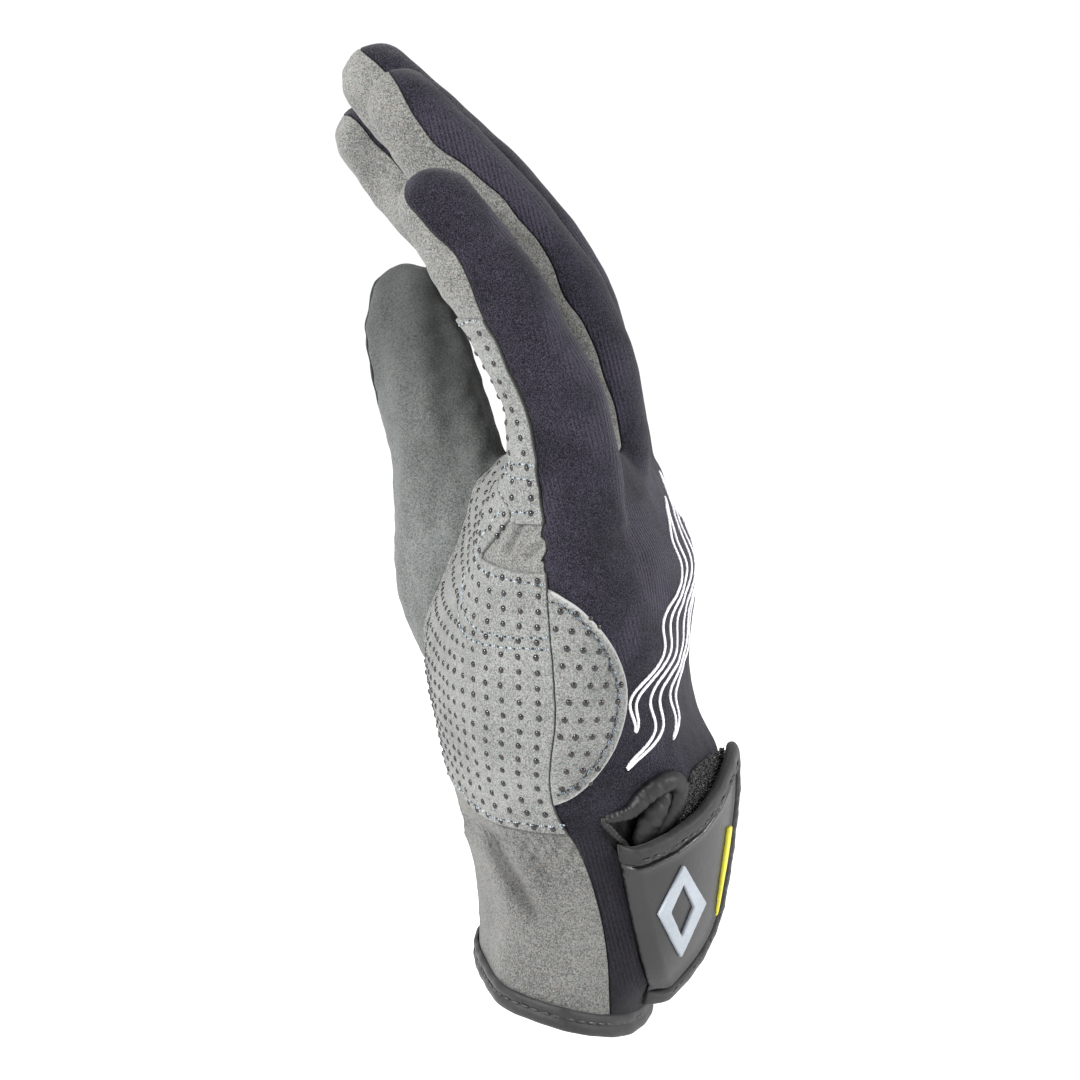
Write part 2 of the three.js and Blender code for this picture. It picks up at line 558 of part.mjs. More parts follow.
addPiece('back_panel', back.intersect(belowFingers), '#3e3c48', 0.9);
addPiece('palm_panel', palm.intersect(belowFingers), '#8c8f8c', 0.95);
for (const [name, y0, y1] of FINGER_BANDS) {
  addPiece(`${name}_back`, back.intersect(fingerBand(y0, y1)), '#3e3c48', 0.9);
  addPiece(`${name}_palm`, palm.intersect(fingerBand(y0, y1)), '#8c8f8c', 0.95);
}
addPiece('thumb_pad', thumb.intersect(thumbSheet(-SEAM_GAP / 2, -FAR)), '#7c807f', 0.95);
addPiece('thumb_back', thumb.intersect(thumbSheet(SEAM_GAP / 2, FAR)), '#3e3c48', 0.9);
addPiece('palm_patch', palmPatch, '#a5a7a4', 0.9);
addPiece('finger_patch', littlePatch, '#a5a7a4', 0.9);
addPiece('edge_patch', edgePatch, '#a5a7a4', 0.9);
addPiece('hem_tape', hemTape, '#4b4948', 0.8);
addPiece('gusset', gusset, '#38373a', 0.8);
addPiece('loop_patch', loopPatch, '#1c1b20', 1.0);
addPiece('strap', strap, '#555557', 0.45);
addPiece('strap_tape', strapTape, '#4b4948', 0.8);
addPiece('lozenge', bar(LOZENGE).subtract(prismY(LOZENGE_EYE, -FAR, FAR)), '#c8cdd2', 0.5);
addPiece('yellow_bar', bar(YELLOW_BAR), '#f0e65a', 0.5);

export default part;
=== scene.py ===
import math
import bpy
import numpy as np
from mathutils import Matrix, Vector
from mathutils.bvhtree import BVHTree
from mathutils.kdtree import KDTree


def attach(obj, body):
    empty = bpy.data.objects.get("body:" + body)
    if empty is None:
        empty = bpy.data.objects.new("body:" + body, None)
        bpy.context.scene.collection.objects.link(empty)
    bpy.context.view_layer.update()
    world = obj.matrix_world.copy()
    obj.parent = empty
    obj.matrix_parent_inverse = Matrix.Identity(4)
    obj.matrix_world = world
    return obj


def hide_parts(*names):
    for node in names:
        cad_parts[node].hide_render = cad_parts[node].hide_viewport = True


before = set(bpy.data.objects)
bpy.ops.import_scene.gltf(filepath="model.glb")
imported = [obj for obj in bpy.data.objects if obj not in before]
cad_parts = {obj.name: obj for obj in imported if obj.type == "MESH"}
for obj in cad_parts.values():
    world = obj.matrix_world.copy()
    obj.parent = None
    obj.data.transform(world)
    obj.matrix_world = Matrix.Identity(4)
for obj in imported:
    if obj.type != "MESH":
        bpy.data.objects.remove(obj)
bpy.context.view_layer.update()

# Left-hand diving glove, size L, filled out as on a hidden hand form.
# All tables are in millimetres: +Z up to the fingertips, +X out of the back of the hand,
# -Y to the little finger; the origin is the middle of the wrist opening.
MM = 0.001
UP = np.array([0.0, 0.0, 1.0])


def placed(name, data):
    made = bpy.data.objects.new(name, data)
    bpy.context.collection.objects.link(made)
    return made


# Camera at the photograph's angle, first because everything is judged from there
AIM = Vector((-5.6, 0.0, 103.4)) * MM
CAMERA_FAR = 0.9
CAMERA_ABOVE = math.radians(7.0)
CAMERA_FOCUS = 127.5
CAMERA_FILM = 36.0
lens = bpy.data.cameras.new("camera")
lens.lens = CAMERA_FOCUS
lens.sensor_width = CAMERA_FILM
lens.clip_start = 0.02
camera = placed("camera", lens)
camera.location = AIM - CAMERA_FAR * Vector((0, math.cos(CAMERA_ABOVE), -math.sin(CAMERA_ABOVE)))
camera.rotation_euler = (math.pi / 2 - CAMERA_ABOVE, 0, 0)
bpy.context.scene.camera = camera

# Cloth, seams and patches
WALL = 2.0
PATCH_THICK = 0.9
SEAM_ROLL = 0.6
SUEDE_ROLL = 0.25
ROLL_LEVELS = (0.12, 0.3, 0.6)
CUT_ROLL = 0.34
WEAVE_SIZE = 1.06
# Rounds of smoothing where fingers meet: a place less hollow than the first value is left as it is,
# and one more hollow than the second is smoothed in full
SMOOTHINGS = 11
HOLLOWS = (0.018, 0.12)

# The hem falls steeply towards the back of the hand and hardly at all towards the palm; slopes along x and y
HEM_BACK = -0.51
HEM_PALM = -0.04
HEM_BEND = 8.0
HEM_UP = 0.86
HEM_Y = 0.14

# Hand and wrist. Columns: z, back at its middle, back on the little-finger side, little-finger edge x
# and y, palm by the little finger, palm at the middle, ball of the thumb x and y,
# palm on the thumb side, thumb-side edge x and y, back on the thumb side
HAND = np.array([
    [-16, 15.5, 10.5, 0.0, 33.0, -12.5, -18.5, -20.0, 8, -13.5, 0.0, 33.0, 12.0],
    [-4, 22.4, 15.0, 0.5, 33.0, -12.5, -18.5, -20.0, 8, -13.5, 0.0, 33.0, 15.5],
    [4, 29.0, 19.5, 1.0, 33.0, -12.5, -18.5, -20.0, 8, -13.5, 0.0, 33.0, 19.0],
    [12, 32.6, 22.0, 1.0, 33.0, -12.5, -18.6, -19.9, 8, -13.5, 0.0, 33.0, 21.5],
    [24, 35.2, 24.0, 1.0, 33.5, -12.8, -19.6, -21.0, 9, -15.0, -1.0, 34.0, 23.5],
    [36, 36.6, 26.0, 1.0, 35.0, -13.7, -22.0, -24.3, 12, -17.5, -2.0, 36.0, 25.0],
    [46, 37.4, 26.5, 1.5, 38.0, -14.7, -24.6, -26.4, 15, -20.5, -2.0, 38.5, 26.5],
    [54, 36.6, 26.0, 2.0, 41.0, -15.7, -26.0, -27.6, 17, -22.5, -2.0, 40.5, 26.0],
    [61, 32.6, 24.0, 2.0, 43.0, -17.0, -27.4, -29.1, 18, -23.5, -1.5, 42.0, 25.5],
    [70, 30.3, 23.0, 2.5, 45.0, -18.3, -28.6, -31.2, 20, -24.5, 0.0, 44.0, 25.0],
    [82, 30.0, 22.5, 3.5, 46.5, -18.3, -27.8, -30.7, 21, -22.0, 2.0, 46.0, 25.5],
    [94, 31.2, 22.4, 4.0, 47.3, -17.2, -23.8, -25.5, 21, -18.5, 4.0, 47.0, 25.5],
    [104, 29.7, 19.9, 3.5, 47.5, -16.6, -20.6, -22.0, 20, -16.0, 5.0, 47.5, 24.0],
    [113, 24.8, 15.8, 2.0, 47.0, -15.4, -17.6, -19.5, 20, -13.0, 6.0, 47.5, 22.0],
    [121, 21.5, 13.5, 1.0, 46.5, -13.2, -12.0, -13.5, 20, -9.0, 6.0, 47.0, 19.0],
    [127, 16.5, 10.5, 0.5, 45.0, -9.5, -7.0, -7.0, 20, -5.0, 5.5, 46.0, 15.0],
    [131, 9.0, 6.0, 0.0, 43.5, -4.0, -2.0, -2.0, 20, -1.0, 5.0, 44.0, 9.0]])

# Fingers and thumb. Columns: x, y, z, half depth from palm to back, half breadth along Y
FINGERS = {
    "little": [[2.0, -35.5, 110, 12.5, 9.5], [-0.2, -36.0, 129, 12.0, 10.3],
               [-2.1, -36.5, 140, 11.0, 10.0], [-7.3, -37.0, 150, 10.1, 9.6],
               [-12.7, -37.6, 160, 10.3, 9.2], [-20.3, -38.4, 171, 10.4, 8.8],
               [-28.3, -39.2, 182.8, 9.0, 7.9]],
    "ring": [[7.0, -12.5, 108, 13.0, 10.5], [7.0, -12.6, 122, 13.0, 11.0],
             [6.3, -12.8, 135, 12.4, 10.8], [2.8, -13.2, 151.5, 11.7, 10.4],
             [-9.4, -13.9, 172, 11.1, 10.0], [-19.2, -14.4, 184.5, 10.4, 9.6],
             [-28.6, -14.9, 195, 9.9, 9.0], [-36.6, -15.3, 204.8, 8.6, 8.2]],
    "middle": [[9.0, 11.5, 107, 13.0, 11.0], [8.8, 11.5, 120, 12.8, 11.5],
               [6.0, 11.7, 139, 11.8, 11.0], [-0.1, 12.0, 160, 11.6, 10.6],
               [-14.2, 12.4, 181.3, 10.5, 10.2], [-29.2, 12.8, 196, 10.3, 9.6],
               [-43.4, 13.3, 210.3, 9.1, 8.6]],
    "index": [[6.0, 35.5, 106, 13.0, 11.0], [7.0, 36.0, 120, 12.8, 11.3],
              [2.0, 36.6, 140, 12.2, 10.8], [-8.0, 37.2, 156, 11.6, 10.4],
              [-18.6, 38.0, 168.5, 11.0, 10.2], [-30.4, 38.8, 179.5, 10.5, 9.8],
              [-39.2, 39.3, 189, 10.2, 9.2], [-46.4, 39.8, 196.8, 8.8, 8.4]],
    "thumb": [[-3.0, 26.0, 45, 17.0, 9.0], [-14.6, 29.0, 75, 18.8, 13.5],
              [-22.0, 31.0, 91, 18.8, 14.0], [-26.4, 33.0, 110, 15.0, 13.0],
              [-28.9, 34.0, 123, 13.5, 12.0], [-32.3, 35.0, 135, 13.0, 11.5],
              [-35.5, 35.5, 146, 12.4, 11.0], [-36.8, 35.7, 151.5, 11.5, 10.4],
              [-37.5, 35.8, 155.2, 10.3, 9.6], [-37.9, 35.8, 157.8, 8.9, 8.6]]}

# Seam between suede and neoprene on the fingers, measured from the finger's middle line to the back.
# Columns: finger, y of the near side, its shift at base and tip, y of the far side, its shifts
FINGER_SEAMS = [("little", -46, -7.5, -4.0, -27.5, 4.5, 2.0), ("ring", -25, 4.5, 1.5, -2, 4.5, 1.5),
                ("middle", 0.5, 4.5, 4.6, 22.5, 4.5, 1.5), ("index", 25, 5.5, 2.2, 47, -6.0, -4.0)]
# The seam on the near side of two fingers, read off the photograph: z, x
NEAR_SEAMS = {
    "little": [[100, -4.0], [114, -4.6], [120, -5.5], [126, -6.5], [131.5, -7.9], [138.4, -9.9],
               [144.6, -12.2], [151.3, -14.7], [157.7, -17.8], [162.8, -19.9], [169.6, -22.9],
               [174.8, -26.2], [178, -29.6], [181.7, -33.2], [184.2, -35.6], [189, -38.0]],
    "ring": [[120, 13.2], [129.7, 12.9], [137.6, 11.1], [144.6, 8.9], [150.9, 6.6], [155.5, 4.2],
             [161.7, 0.4], [169.4, -3.0], [174.8, -6.0], [179.4, -9.9], [183.9, -13.5], [188.5, -18.5],
             [192.3, -23.5], [196.9, -30.0], [201.5, -33.1], [207.8, -36.9], [212.4, -38.8]]}
TOP_OF_HAND = 127
# The same seam down the two edges of the hand: z, x at the little-finger edge, x at the thumb edge
EDGE_SEAMS = np.array([
    [-20, 11.0, 11.0], [0, 10.5, 10.5], [9, 10.2, 9.5], [23, 8.0, 6.0], [37, 3.2, 0.0],
    [43, -0.6, -2.0], [72, -2.0, -4.0], [100, -4.0, -2.5], [113, -4.6, 0.0], [127, -7.4, 1.0]])

# Outlines. The thumb, the slit and the patches on the little-finger side are given in x and z,
# the patch on the palm in y and z
THUMB_CUT_Y = 3.0
THUMB_SPLIT_Y = 3.0
THUMB_OUTLINE = [[-12, 123.5], [-15.5, 119.5], [-20.8, 115], [-22.3, 110], [-24.6, 103], [-27.2, 96],
                 [-31.2, 87], [-33.4, 79], [-33.4, 69], [-60, 62], [-60, 169.5], [-38, 169.3],
                 [-33.5, 167], [-31.3, 165], [-26.6, 160], [-22.8, 155], [-19.4, 149.5],
                 [-16.6, 140.5], [-14.4, 131.5]]
SLIT = [[8.8, 43.6], [13.5, 45], [17, 49], [20.5, 51.8], [24.5, 52], [26, 48], [25, 42], [22, 36],
        [14, 33.5]]
PALM_PATCH = [[-60, 40.5], [-38, 40.5], [-25, 41.5], [-12, 44.5], [0, 47], [12, 48], [31, 47.5],
              [33, 80], [35, 112], [33, 121.5], [8, 122], [-6, 121.8], [-20, 121.3], [-32, 120],
              [-38.5, 117], [-40.5, 114], [-39.5, 111], [-37.5, 108], [-34.5, 105.3], [-33, 103.6],
              [-36, 102.9], [-40, 102.1], [-44, 101.3], [-60, 100.9]]
FINGER_PATCH = [[-40, 158], [-23.6, 158.2], [6, 158.6], [6, 113], [-10, 112.2], [-40, 114]]
HALF_MOON = [[-9, 98.5], [-3.8, 98], [0, 96], [3.4, 93.7], [8.5, 88], [11.9, 81.7], [13.7, 74.8],
             [13.3, 68], [10.6, 60], [5.7, 53.1], [-0.4, 48.3], [-9, 47]]


# Curves and sections
def hem_z(x, y):
    """Height of the hem."""
    return (HEM_UP + HEM_Y * y + (HEM_BACK + HEM_PALM) / 2 * x
            + (HEM_BACK - HEM_PALM) / 2 * (np.sqrt(x * x + HEM_BEND ** 2) - HEM_BEND))


def hem_slope(x):
    return (HEM_BACK + HEM_PALM) / 2 + (HEM_BACK - HEM_PALM) / 2 * x / np.sqrt(x * x + HEM_BEND ** 2)


def unit(vectors):
    return vectors / np.maximum(np.linalg.norm(vectors, axis=1), 1e-12)[:, None]


def run_of(points):
    """Length of a line up to each of its points."""
    return np.concatenate([[0], np.cumsum(np.linalg.norm(np.diff(points, axis=0), axis=1))])


def cubic(f, start, end, leave, reach):
    """Smooth values from start to end that leave and reach them with the given slopes."""
    return ((2 * f**3 - 3 * f**2 + 1) * start + (f**3 - 2 * f**2 + f) * leave
            + (3 * f**2 - 2 * f**3) * end + (f**3 - f**2) * reach)


def slopes(p0, p1, p2, p3):
    """Slopes at the middle two of four points, for a round curve through all of them."""
    d0, d1, d2 = (np.maximum(np.linalg.norm(b - a, axis=1), 1e-6)[:, None] ** 0.5
                  for a, b in ((p0, p1), (p1, p2), (p2, p3)))
    return (((p1 - p0) / d0 - (p2 - p0) / (d0 + d1) + (p2 - p1) / d1) * d1,
            ((p2 - p1) / d1 - (p3 - p1) / (d1 + d2) + (p3 - p2) / d2) * d1)


def blend_rows(rows, at):
    """Smooth values between the rows of a table whose first column is the place."""
    rows = np.asarray(rows, float)
    place, value = rows[:, 0], rows[:, 1:]
    slope = np.gradient(value, place, axis=0)
    at = np.asarray(at, float)
    i = np.clip(np.searchsorted(place, at, side="right") - 1, 0, len(place) - 2)
    step = (place[i + 1] - place[i])[:, None]
    f = np.clip((at[:, None] - place[i][:, None]) / step, 0, 1)
    return cubic(f, value[i], value[i + 1], step * slope[i], step * slope[i + 1])


def hand_corners(row):
    """The nine corners of the hand's section, from the back over the little-finger edge to the palm."""
    back, back_u, uln_x, uln_y, hyp, hollow, ball, ball_y, rad_p, rad_x, rad_y, back_r = row.T
    xs = [back, back_u, uln_x, hyp, hollow, ball, rad_p, rad_x, back_r]
    ys = [back * 0 + 3, -0.66 * uln_y, -uln_y, -0.78 * uln_y, -0.22 * uln_y, ball_y, 0.8 * rad_y, rad_y,
          0.72 * rad_y]
    return np.stack([np.stack(xs, 1), np.stack(ys, 1)], 2)


def section(z, turn):
    """x, y and the outward direction of the hand at height z; turn runs from 0 to 1 round it."""
    z, turn = (a.ravel().astype(float) for a in np.broadcast_arrays(z, turn))
    corners = hand_corners(blend_rows(HAND, z))
    k = (turn % 1.0) * 9
    i = np.minimum(k.astype(int), 8)
    f = (k - i)[:, None]

    def corner(shift):
        return np.take_along_axis(corners, ((i + shift) % 9)[:, None, None], 1)[:, 0]

    p0, p1, p2, p3 = corner(-1), corner(0), corner(1), corner(2)
    leave, reach = slopes(p0, p1, p2, p3)
    along = unit((6 * f**2 - 6 * f) * p1 + (3 * f**2 - 4 * f + 1) * leave
                 + (6 * f - 6 * f**2) * p2 + (3 * f**2 - 2 * f) * reach)
    return cubic(f, p1, p2, leave, reach), np.stack([-along[:, 1], along[:, 0]], 1)


def on_hand(z, turn, out=0.0):
    """Points on the hand's section, moved outwards."""
    at, away = section(z, turn)
    z = np.broadcast_to(np.asarray(z, float), len(at)) if np.ndim(z) < 2 else z.ravel()
    return np.column_stack([at + away * np.reshape(out, (-1, 1)), z])


def smooth_step(value, start, end):
    f = np.clip((np.asarray(value, float) - start) / (end - start), 0, 1)
    return f * f * (3 - 2 * f)


def rounded(outline, samples):
    """A closed outline with its corners drawn as one smooth curve."""
    p = np.asarray(outline, float)
    n = len(p)
    k = np.arange(n * samples) / samples
    i = k.astype(int)
    f = (k - i)[:, None]
    p0, p1, p2, p3 = (p[(i + s) % n] for s in (-1, 0, 1, 2))
    return cubic(f, p1, p2, *slopes(p0, p1, p2, p3))


def inside_by(points, outline):
    """How far each point lies inside a closed outline; negative outside."""
    a = np.asarray(outline, float)
    b = np.roll(a, -1, axis=0)
    nearest = np.full(len(points), 1e9)
    crossings = np.zeros(len(points), int)
    for (ax, ay), (bx, by) in zip(a, b):
        dx, dy = bx - ax, by - ay
        px, py = points[:, 0] - ax, points[:, 1] - ay
        t = np.clip((px * dx + py * dy) / max(dx * dx + dy * dy, 1e-12), 0, 1)
        nearest = np.minimum(nearest, np.hypot(px - t * dx, py - t * dy))
        straddles = (ay > points[:, 1]) != (by > points[:, 1])
        if dy:
            crossings += straddles & (px < dx * py / dy)
    return np.where(crossings % 2 == 1, nearest, -nearest)


# Shapes joined into one skin
def loft_faces(rows, sides, close=True):
    """Four-sided faces between rows of points."""
    faces = []
    for r in range(rows - 1):
        for i in range(sides if close else sides - 1):
            a, b = r * sides + i, r * sides + (i + 1) % sides
            faces.append((a, b, b + sides, a + sides))
    return faces


def capped(rows, sides):
    """Faces between closed rings of points, with a face over each end."""
    first = tuple(range(sides))
    return loft_faces(rows, sides) + [first[::-1], tuple((rows - 1) * sides + i for i in first)]


def halves(quads):
    """Two triangles for each four-sided face."""
    quads = np.array(quads)
    return np.vstack([quads[:, [0, 1, 2]], quads[:, [0, 2, 3]]])


def facing_out(points, faces):
    """The faces of a closed shape, turned to face outwards."""
    a, b, c = (points[faces[:, k]] for k in range(3))
    return faces[:, ::-1] if (a * np.cross(b, c)).sum() < 0 else faces


def joined(shapes):
    """The points and faces of several shapes as one."""
    points, faces, start = [], [], 0
    for p, f in shapes:
        points.append(p)
        faces += [tuple(i + start for i in face) for face in f]
        start += len(p)
    return np.vstack(points), faces


def hand_shell():
    heights = np.concatenate([np.arange(-16, 126, 1.5), np.arange(126, 131.1, 0.5)])
    sides = 120
    z, turn = np.meshgrid(heights, np.arange(sides) / sides, indexing="ij")
    return on_hand(z, turn), capped(len(heights), sides)


FINGER_STEP = 1.4
FINGERTIP = np.radians([8, 16, 24, 32, 40, 48, 56, 64, 72, 80, 86])


def finger_shell(rows):
    """Round sections along the finger, closed by a half ball at its tip."""
    rows = np.asarray(rows, float)
    length = run_of(rows[:, :3])
    at = np.linspace(0, length[-1], int(length[-1] / FINGER_STEP))
    data = blend_rows(np.column_stack([length, rows]), at)
    along = np.gradient(data[:, :3], at, axis=0)
    deep, wide = data[:, 3].copy(), data[:, 4].copy()
    centre = data[:, :3]
    last = along[-1] / np.linalg.norm(along[-1])
    centre = np.vstack([centre, centre[-1] + np.outer(np.sin(FINGERTIP) * deep[-1], last)])
    along = unit(np.vstack([along, np.repeat(last[None], len(FINGERTIP), 0)]))
    deep = np.append(deep, np.cos(FINGERTIP) * deep[-1])
    wide = np.append(wide, np.cos(FINGERTIP) * wide[-1])
    across = unit(np.array([0, 1.0, 0]) - along * along[:, 1:2])
    out = np.cross(across, along)
    sides = 48
    angle = np.arange(sides) / sides * 2 * np.pi
    points = (centre[:, None] + across[:, None] * (wide[:, None] * np.cos(angle))[..., None]
              + out[:, None] * (deep[:, None] * np.sin(angle))[..., None]).reshape(-1, 3)
    return points, capped(len(centre), sides)


def one_skin(shells, size):
    """Closed shapes that overlap, wrapped in one even net of small faces."""
    points, faces = joined(shells)
    mesh = bpy.data.meshes.new("skin")
    mesh.from_pydata(points.tolist(), [], faces)
    body = placed("skin", mesh)
    wrap = body.modifiers.new("wrap", "REMESH")
    wrap.mode = "VOXEL"
    wrap.voxel_size = size
    done = bpy.data.meshes.new_from_object(body.evaluated_get(bpy.context.evaluated_depsgraph_get()))
    bpy.data.objects.remove(body)
    bpy.data.meshes.remove(mesh)
    done.calc_loop_triangles()
    at = np.empty(len(done.vertices) * 3)
    done.vertices.foreach_get("co", at)
    tri = np.empty(len(done.loop_triangles) * 3, int)
    done.loop_triangles.foreach_get("vertices", tri)
    edges = np.empty(len(done.edges) * 2, int)
    done.edges.foreach_get("vertices", edges)
    bpy.data.meshes.remove(done)
    return at.reshape(-1, 3), tri.reshape(-1, 3), edges.reshape(-1, 2)


def normals_of(at, tri):
    cross = np.cross(at[tri[:, 1]] - at[tri[:, 0]], at[tri[:, 2]] - at[tri[:, 0]])
    total = np.stack([sum(np.bincount(tri[:, k], weights=cross[:, c], minlength=len(at)) for k in range(3))
                      for c in range(3)], 1)
    return unit(total)


def pull_of(at, edges):
    """From each point to the mean of its neighbours."""
    count = np.bincount(edges.ravel(), minlength=len(at))[:, None]
    total = np.stack([np.bincount(edges[:, 0], weights=at[edges[:, 1], c], minlength=len(at))
                      + np.bincount(edges[:, 1], weights=at[edges[:, 0], c], minlength=len(at))
                      for c in range(3)], 1)
    return total / np.maximum(count, 1) - at


# Low relief of the cloth, in millimetres outwards.
# Folds seen from the little-finger side: x and z of both ends, half width, height
NEAR_FOLDS = [(-18.9, 38.0, -4.6, 16.0, 2.3, -1.7), (-12.6, 38.0, -2.6, 21.5, 1.7, 0.8),
              (-18.6, 33.5, -10.6, 17.0, 1.9, 0.8), (-7.4, 34.5, -1.5, 27.0, 1.2, -0.65),
              (-9.2, 113.0, -13.9, 103.2, 0.85, -1.05), (-7.7, 112.4, -12.2, 103.6, 0.9, 0.75),
              (-4.5, 108.8, -9.6, 103.6, 0.8, -0.85), (-5.0, 111.2, -10.4, 104.6, 0.9, 0.45),
              (-11.2, 112.6, -15.4, 104.4, 1.1, 0.5), (-5.0, 121.5, -6.4, 114.8, 0.9, -0.6),
              (-4.9, 104.6, -8.0, 102.0, 0.8, 0.5), (11.5, 39.0, 7.0, 31.0, 1.6, 0.5)]


WAVES = 7


def plane_waves(at, wavelength, seed):
    """A soft uneven height around 0, with swells of about one wavelength."""
    rng = np.random.default_rng(seed)
    total = np.zeros(len(at))
    for _ in range(WAVES):
        way = rng.normal(size=3)
        way *= 2 * np.pi / (np.linalg.norm(way) * wavelength * rng.uniform(0.75, 1.35))
        total += np.sin(at @ way + rng.uniform(0, 6.28))
    return total / math.sqrt(WAVES)


def near_folds(at, out, folds):
    x, y, z = at.T
    height = np.zeros(len(at))
    near = smooth_step(-out[:, 1], 0.05, 0.45) * smooth_step(-y, 8, 20)
    for ax, az, bx, bz, wide, high in folds:
        dx, dz = bx - ax, bz - az
        t = ((x - ax) * dx + (z - az) * dz) / (dx * dx + dz * dz)
        off = np.hypot(x - ax - np.clip(t, 0, 1) * dx, z - az - np.clip(t, 0, 1) * dz)
        fade = smooth_step(t, -0.15, 0.2) * (1 - smooth_step(t, 0.6, 1.1))
        height += high * near * fade * np.exp(-(off / wide) ** 2)
    return height


def relief(at, out, palm):
    """palm is 1 on the suede and 0 on the neoprene."""
    x, y, z = at.T
    above_hem = z - hem_z(x, y)
    height = near_folds(at, out, NEAR_FOLDS)
    # Elastic under the palm patch draws the suede in and puckers it
    drawn = palm * np.exp(-((z - 36.0) / 2.6) ** 2)
    height -= 0.75 * drawn
    ripple = np.cos(2 * np.pi * (y * 0.9 - x * 0.5 + 0.55 * z) / 3.1 + 1.2 * plane_waves(at, 14, 4))
    height += 0.34 * ripple * palm * smooth_step(z, 28.5, 34) * (1 - smooth_step(z, 37.5, 39.5))
    # Soft dents along the thumb and in the web
    thumb = smooth_step(-x, 14, 24) * smooth_step(y, 6, 18)
    thumb = thumb * smooth_step(-out[:, 1], 0.2, 0.65)
    height += 0.62 * thumb * plane_waves(at * np.array([1.0, 0.6, 0.42]), 9, 11)
    # The stuffed look of the fingers and hand
    height += 0.16 * plane_waves(at, 17, 2) + 0.07 * plane_waves(at, 7, 5)
    height += 0.12 * palm * plane_waves(at, 5, 8)
    return height * smooth_step(above_hem, 3.5, 9.0)


# Cloth that carries named numbers on its points and can be cut along any of them
SNAP = 0.05


def tree_of(points):
    tree = KDTree(len(points))
    for i, p in enumerate(points):
        tree.insert(p, i)
    tree.balance()
    return tree


class Cloth:
    def __init__(self, at, out, faces, marks=None):
        self.at, self.out, self.faces = at, out, faces
        self.marks = dict(marks or {})

    def copy(self):
        return Cloth(self.at, self.out, self.faces, self.marks)

    def score(self, mark, *levels):
        """Adds a line of edges where the mark has each of these values, or 0 when none is given."""
        for level in levels or (0.0,):
            self.score_at(mark, level)

    def score_at(self, mark, level):
        value = self.marks[mark] - level
        value = np.where(np.abs(value) < SNAP, 0.0, value)
        side = np.sign(value).astype(int)
        around = side[self.faces]
        crossed = (around.min(1) < 0) & (around.max(1) > 0)
        self.marks[mark] = value + level
        if not crossed.any():
            return
        plain, cut = self.faces[~crossed], self.faces[crossed]
        edges = np.concatenate([cut[:, [0, 1]], cut[:, [1, 2]], cut[:, [2, 0]]])
        edges = edges[side[edges[:, 0]] * side[edges[:, 1]] < 0]
        edges = np.unique(np.sort(edges, axis=1), axis=0)
        a, b = edges.T
        t = value[a] / (value[a] - value[b])
        start = len(self.at)
        keys = a.astype(np.int64) * start + b

        def mixed(v):
            f = t[:, None] if v.ndim > 1 else t
            return np.concatenate([v, v[a] + (v[b] - v[a]) * f])

        self.at = mixed(self.at)
        self.out = unit(mixed(self.out))
        self.marks = {k: mixed(v) for k, v in self.marks.items()}
        self.marks[mark][start:] = level

        def between(p, q):
            low, high = np.minimum(p, q).astype(np.int64), np.maximum(p, q)
            return start + np.searchsorted(keys, low * start + high)

        parts = [plain]
        for turn in range(3):
            p, q, r = np.roll(cut, -turn, axis=1).T
            sp, sq, sr = side[p], side[q], side[r]
            lone = (sp * sq < 0) & (sp * sr < 0)
            u, v, w = p[lone], q[lone], r[lone]
            i, j = between(u, v), between(u, w)
            parts += [np.column_stack(f) for f in ((u, i, j), (i, v, w), (i, w, j))]
            touching = (sp == 0) & (sq * sr < 0)
            u, v, w = p[touching], q[touching], r[touching]
            i = between(v, w)
            parts += [np.column_stack(f) for f in ((u, v, i), (u, i, w))]
        self.faces = np.concatenate(parts)

    def over(self, mark, level=0.0):
        return self.marks[mark][self.faces].mean(1) > level

    def part(self, chosen):
        used, faces = np.unique(self.faces[chosen], return_inverse=True)
        return Cloth(self.at[used], self.out[used], faces.reshape(-1, 3),
                     {k: v[used] for k, v in self.marks.items()})

    def cut(self, mark, level=0.0):
        """The part of the cloth where the mark is over the level, with a clean edge."""
        self.score(mark, level)
        return self.part(self.over(mark, level))

    def cut_to(self, zone):
        """A copy of the cloth cut to where the zone is over 0."""
        cloth = self.copy()
        cloth.marks["zone"] = zone
        return cloth.cut("zone")

    def closed_faces(self):
        """Faces of a closed sheet whose points are the outside's and then the inside's."""
        n = len(self.at)
        a, b = self.borders().T
        return np.vstack([self.faces, self.faces[:, ::-1] + n, np.column_stack([b, a, a + n]),
                          np.column_stack([b, a + n, b + n])])

    def borders(self, label=None):
        """Edges of the cloth, or edges between faces of different labels."""
        f = self.faces
        edges = np.concatenate([f[:, [0, 1]], f[:, [1, 2]], f[:, [2, 0]]])
        key = np.sort(edges, axis=1).astype(np.int64)
        key = key[:, 0] * len(self.at) + key[:, 1]
        if label is None:
            _, first, count = np.unique(key, return_index=True, return_counts=True)
            return edges[first[count == 1]]
        order = np.argsort(key, kind="stable")
        labels = np.tile(label, 3)[order]
        same = key[order][1:] == key[order][:-1]
        differ = same & (labels[1:] != labels[:-1])
        return edges[order[1:][differ]]

    def measure(self, mark, edges, reach):
        """Marks the distance to some edges, up to a reach."""
        a, b = self.at[edges[:, 0]], self.at[edges[:, 1]]
        tree = tree_of((a + b) / 2)
        far = np.full(len(self.at), float(reach))
        low, high = a.min(0) - reach, a.max(0) + reach
        for i in np.nonzero(((self.at > low) & (self.at < high)).all(1))[0]:
            p = self.at[i]
            for _, k, d in tree.find_n(p, 3):
                if d < reach + 2:
                    step = b[k] - a[k]
                    t = min(max(float((p - a[k]) @ step) / max(float(step @ step), 1e-9), 0), 1)
                    far[i] = min(far[i], float(np.linalg.norm(p - a[k] - t * step)))
        self.marks[mark] = far


finished = []


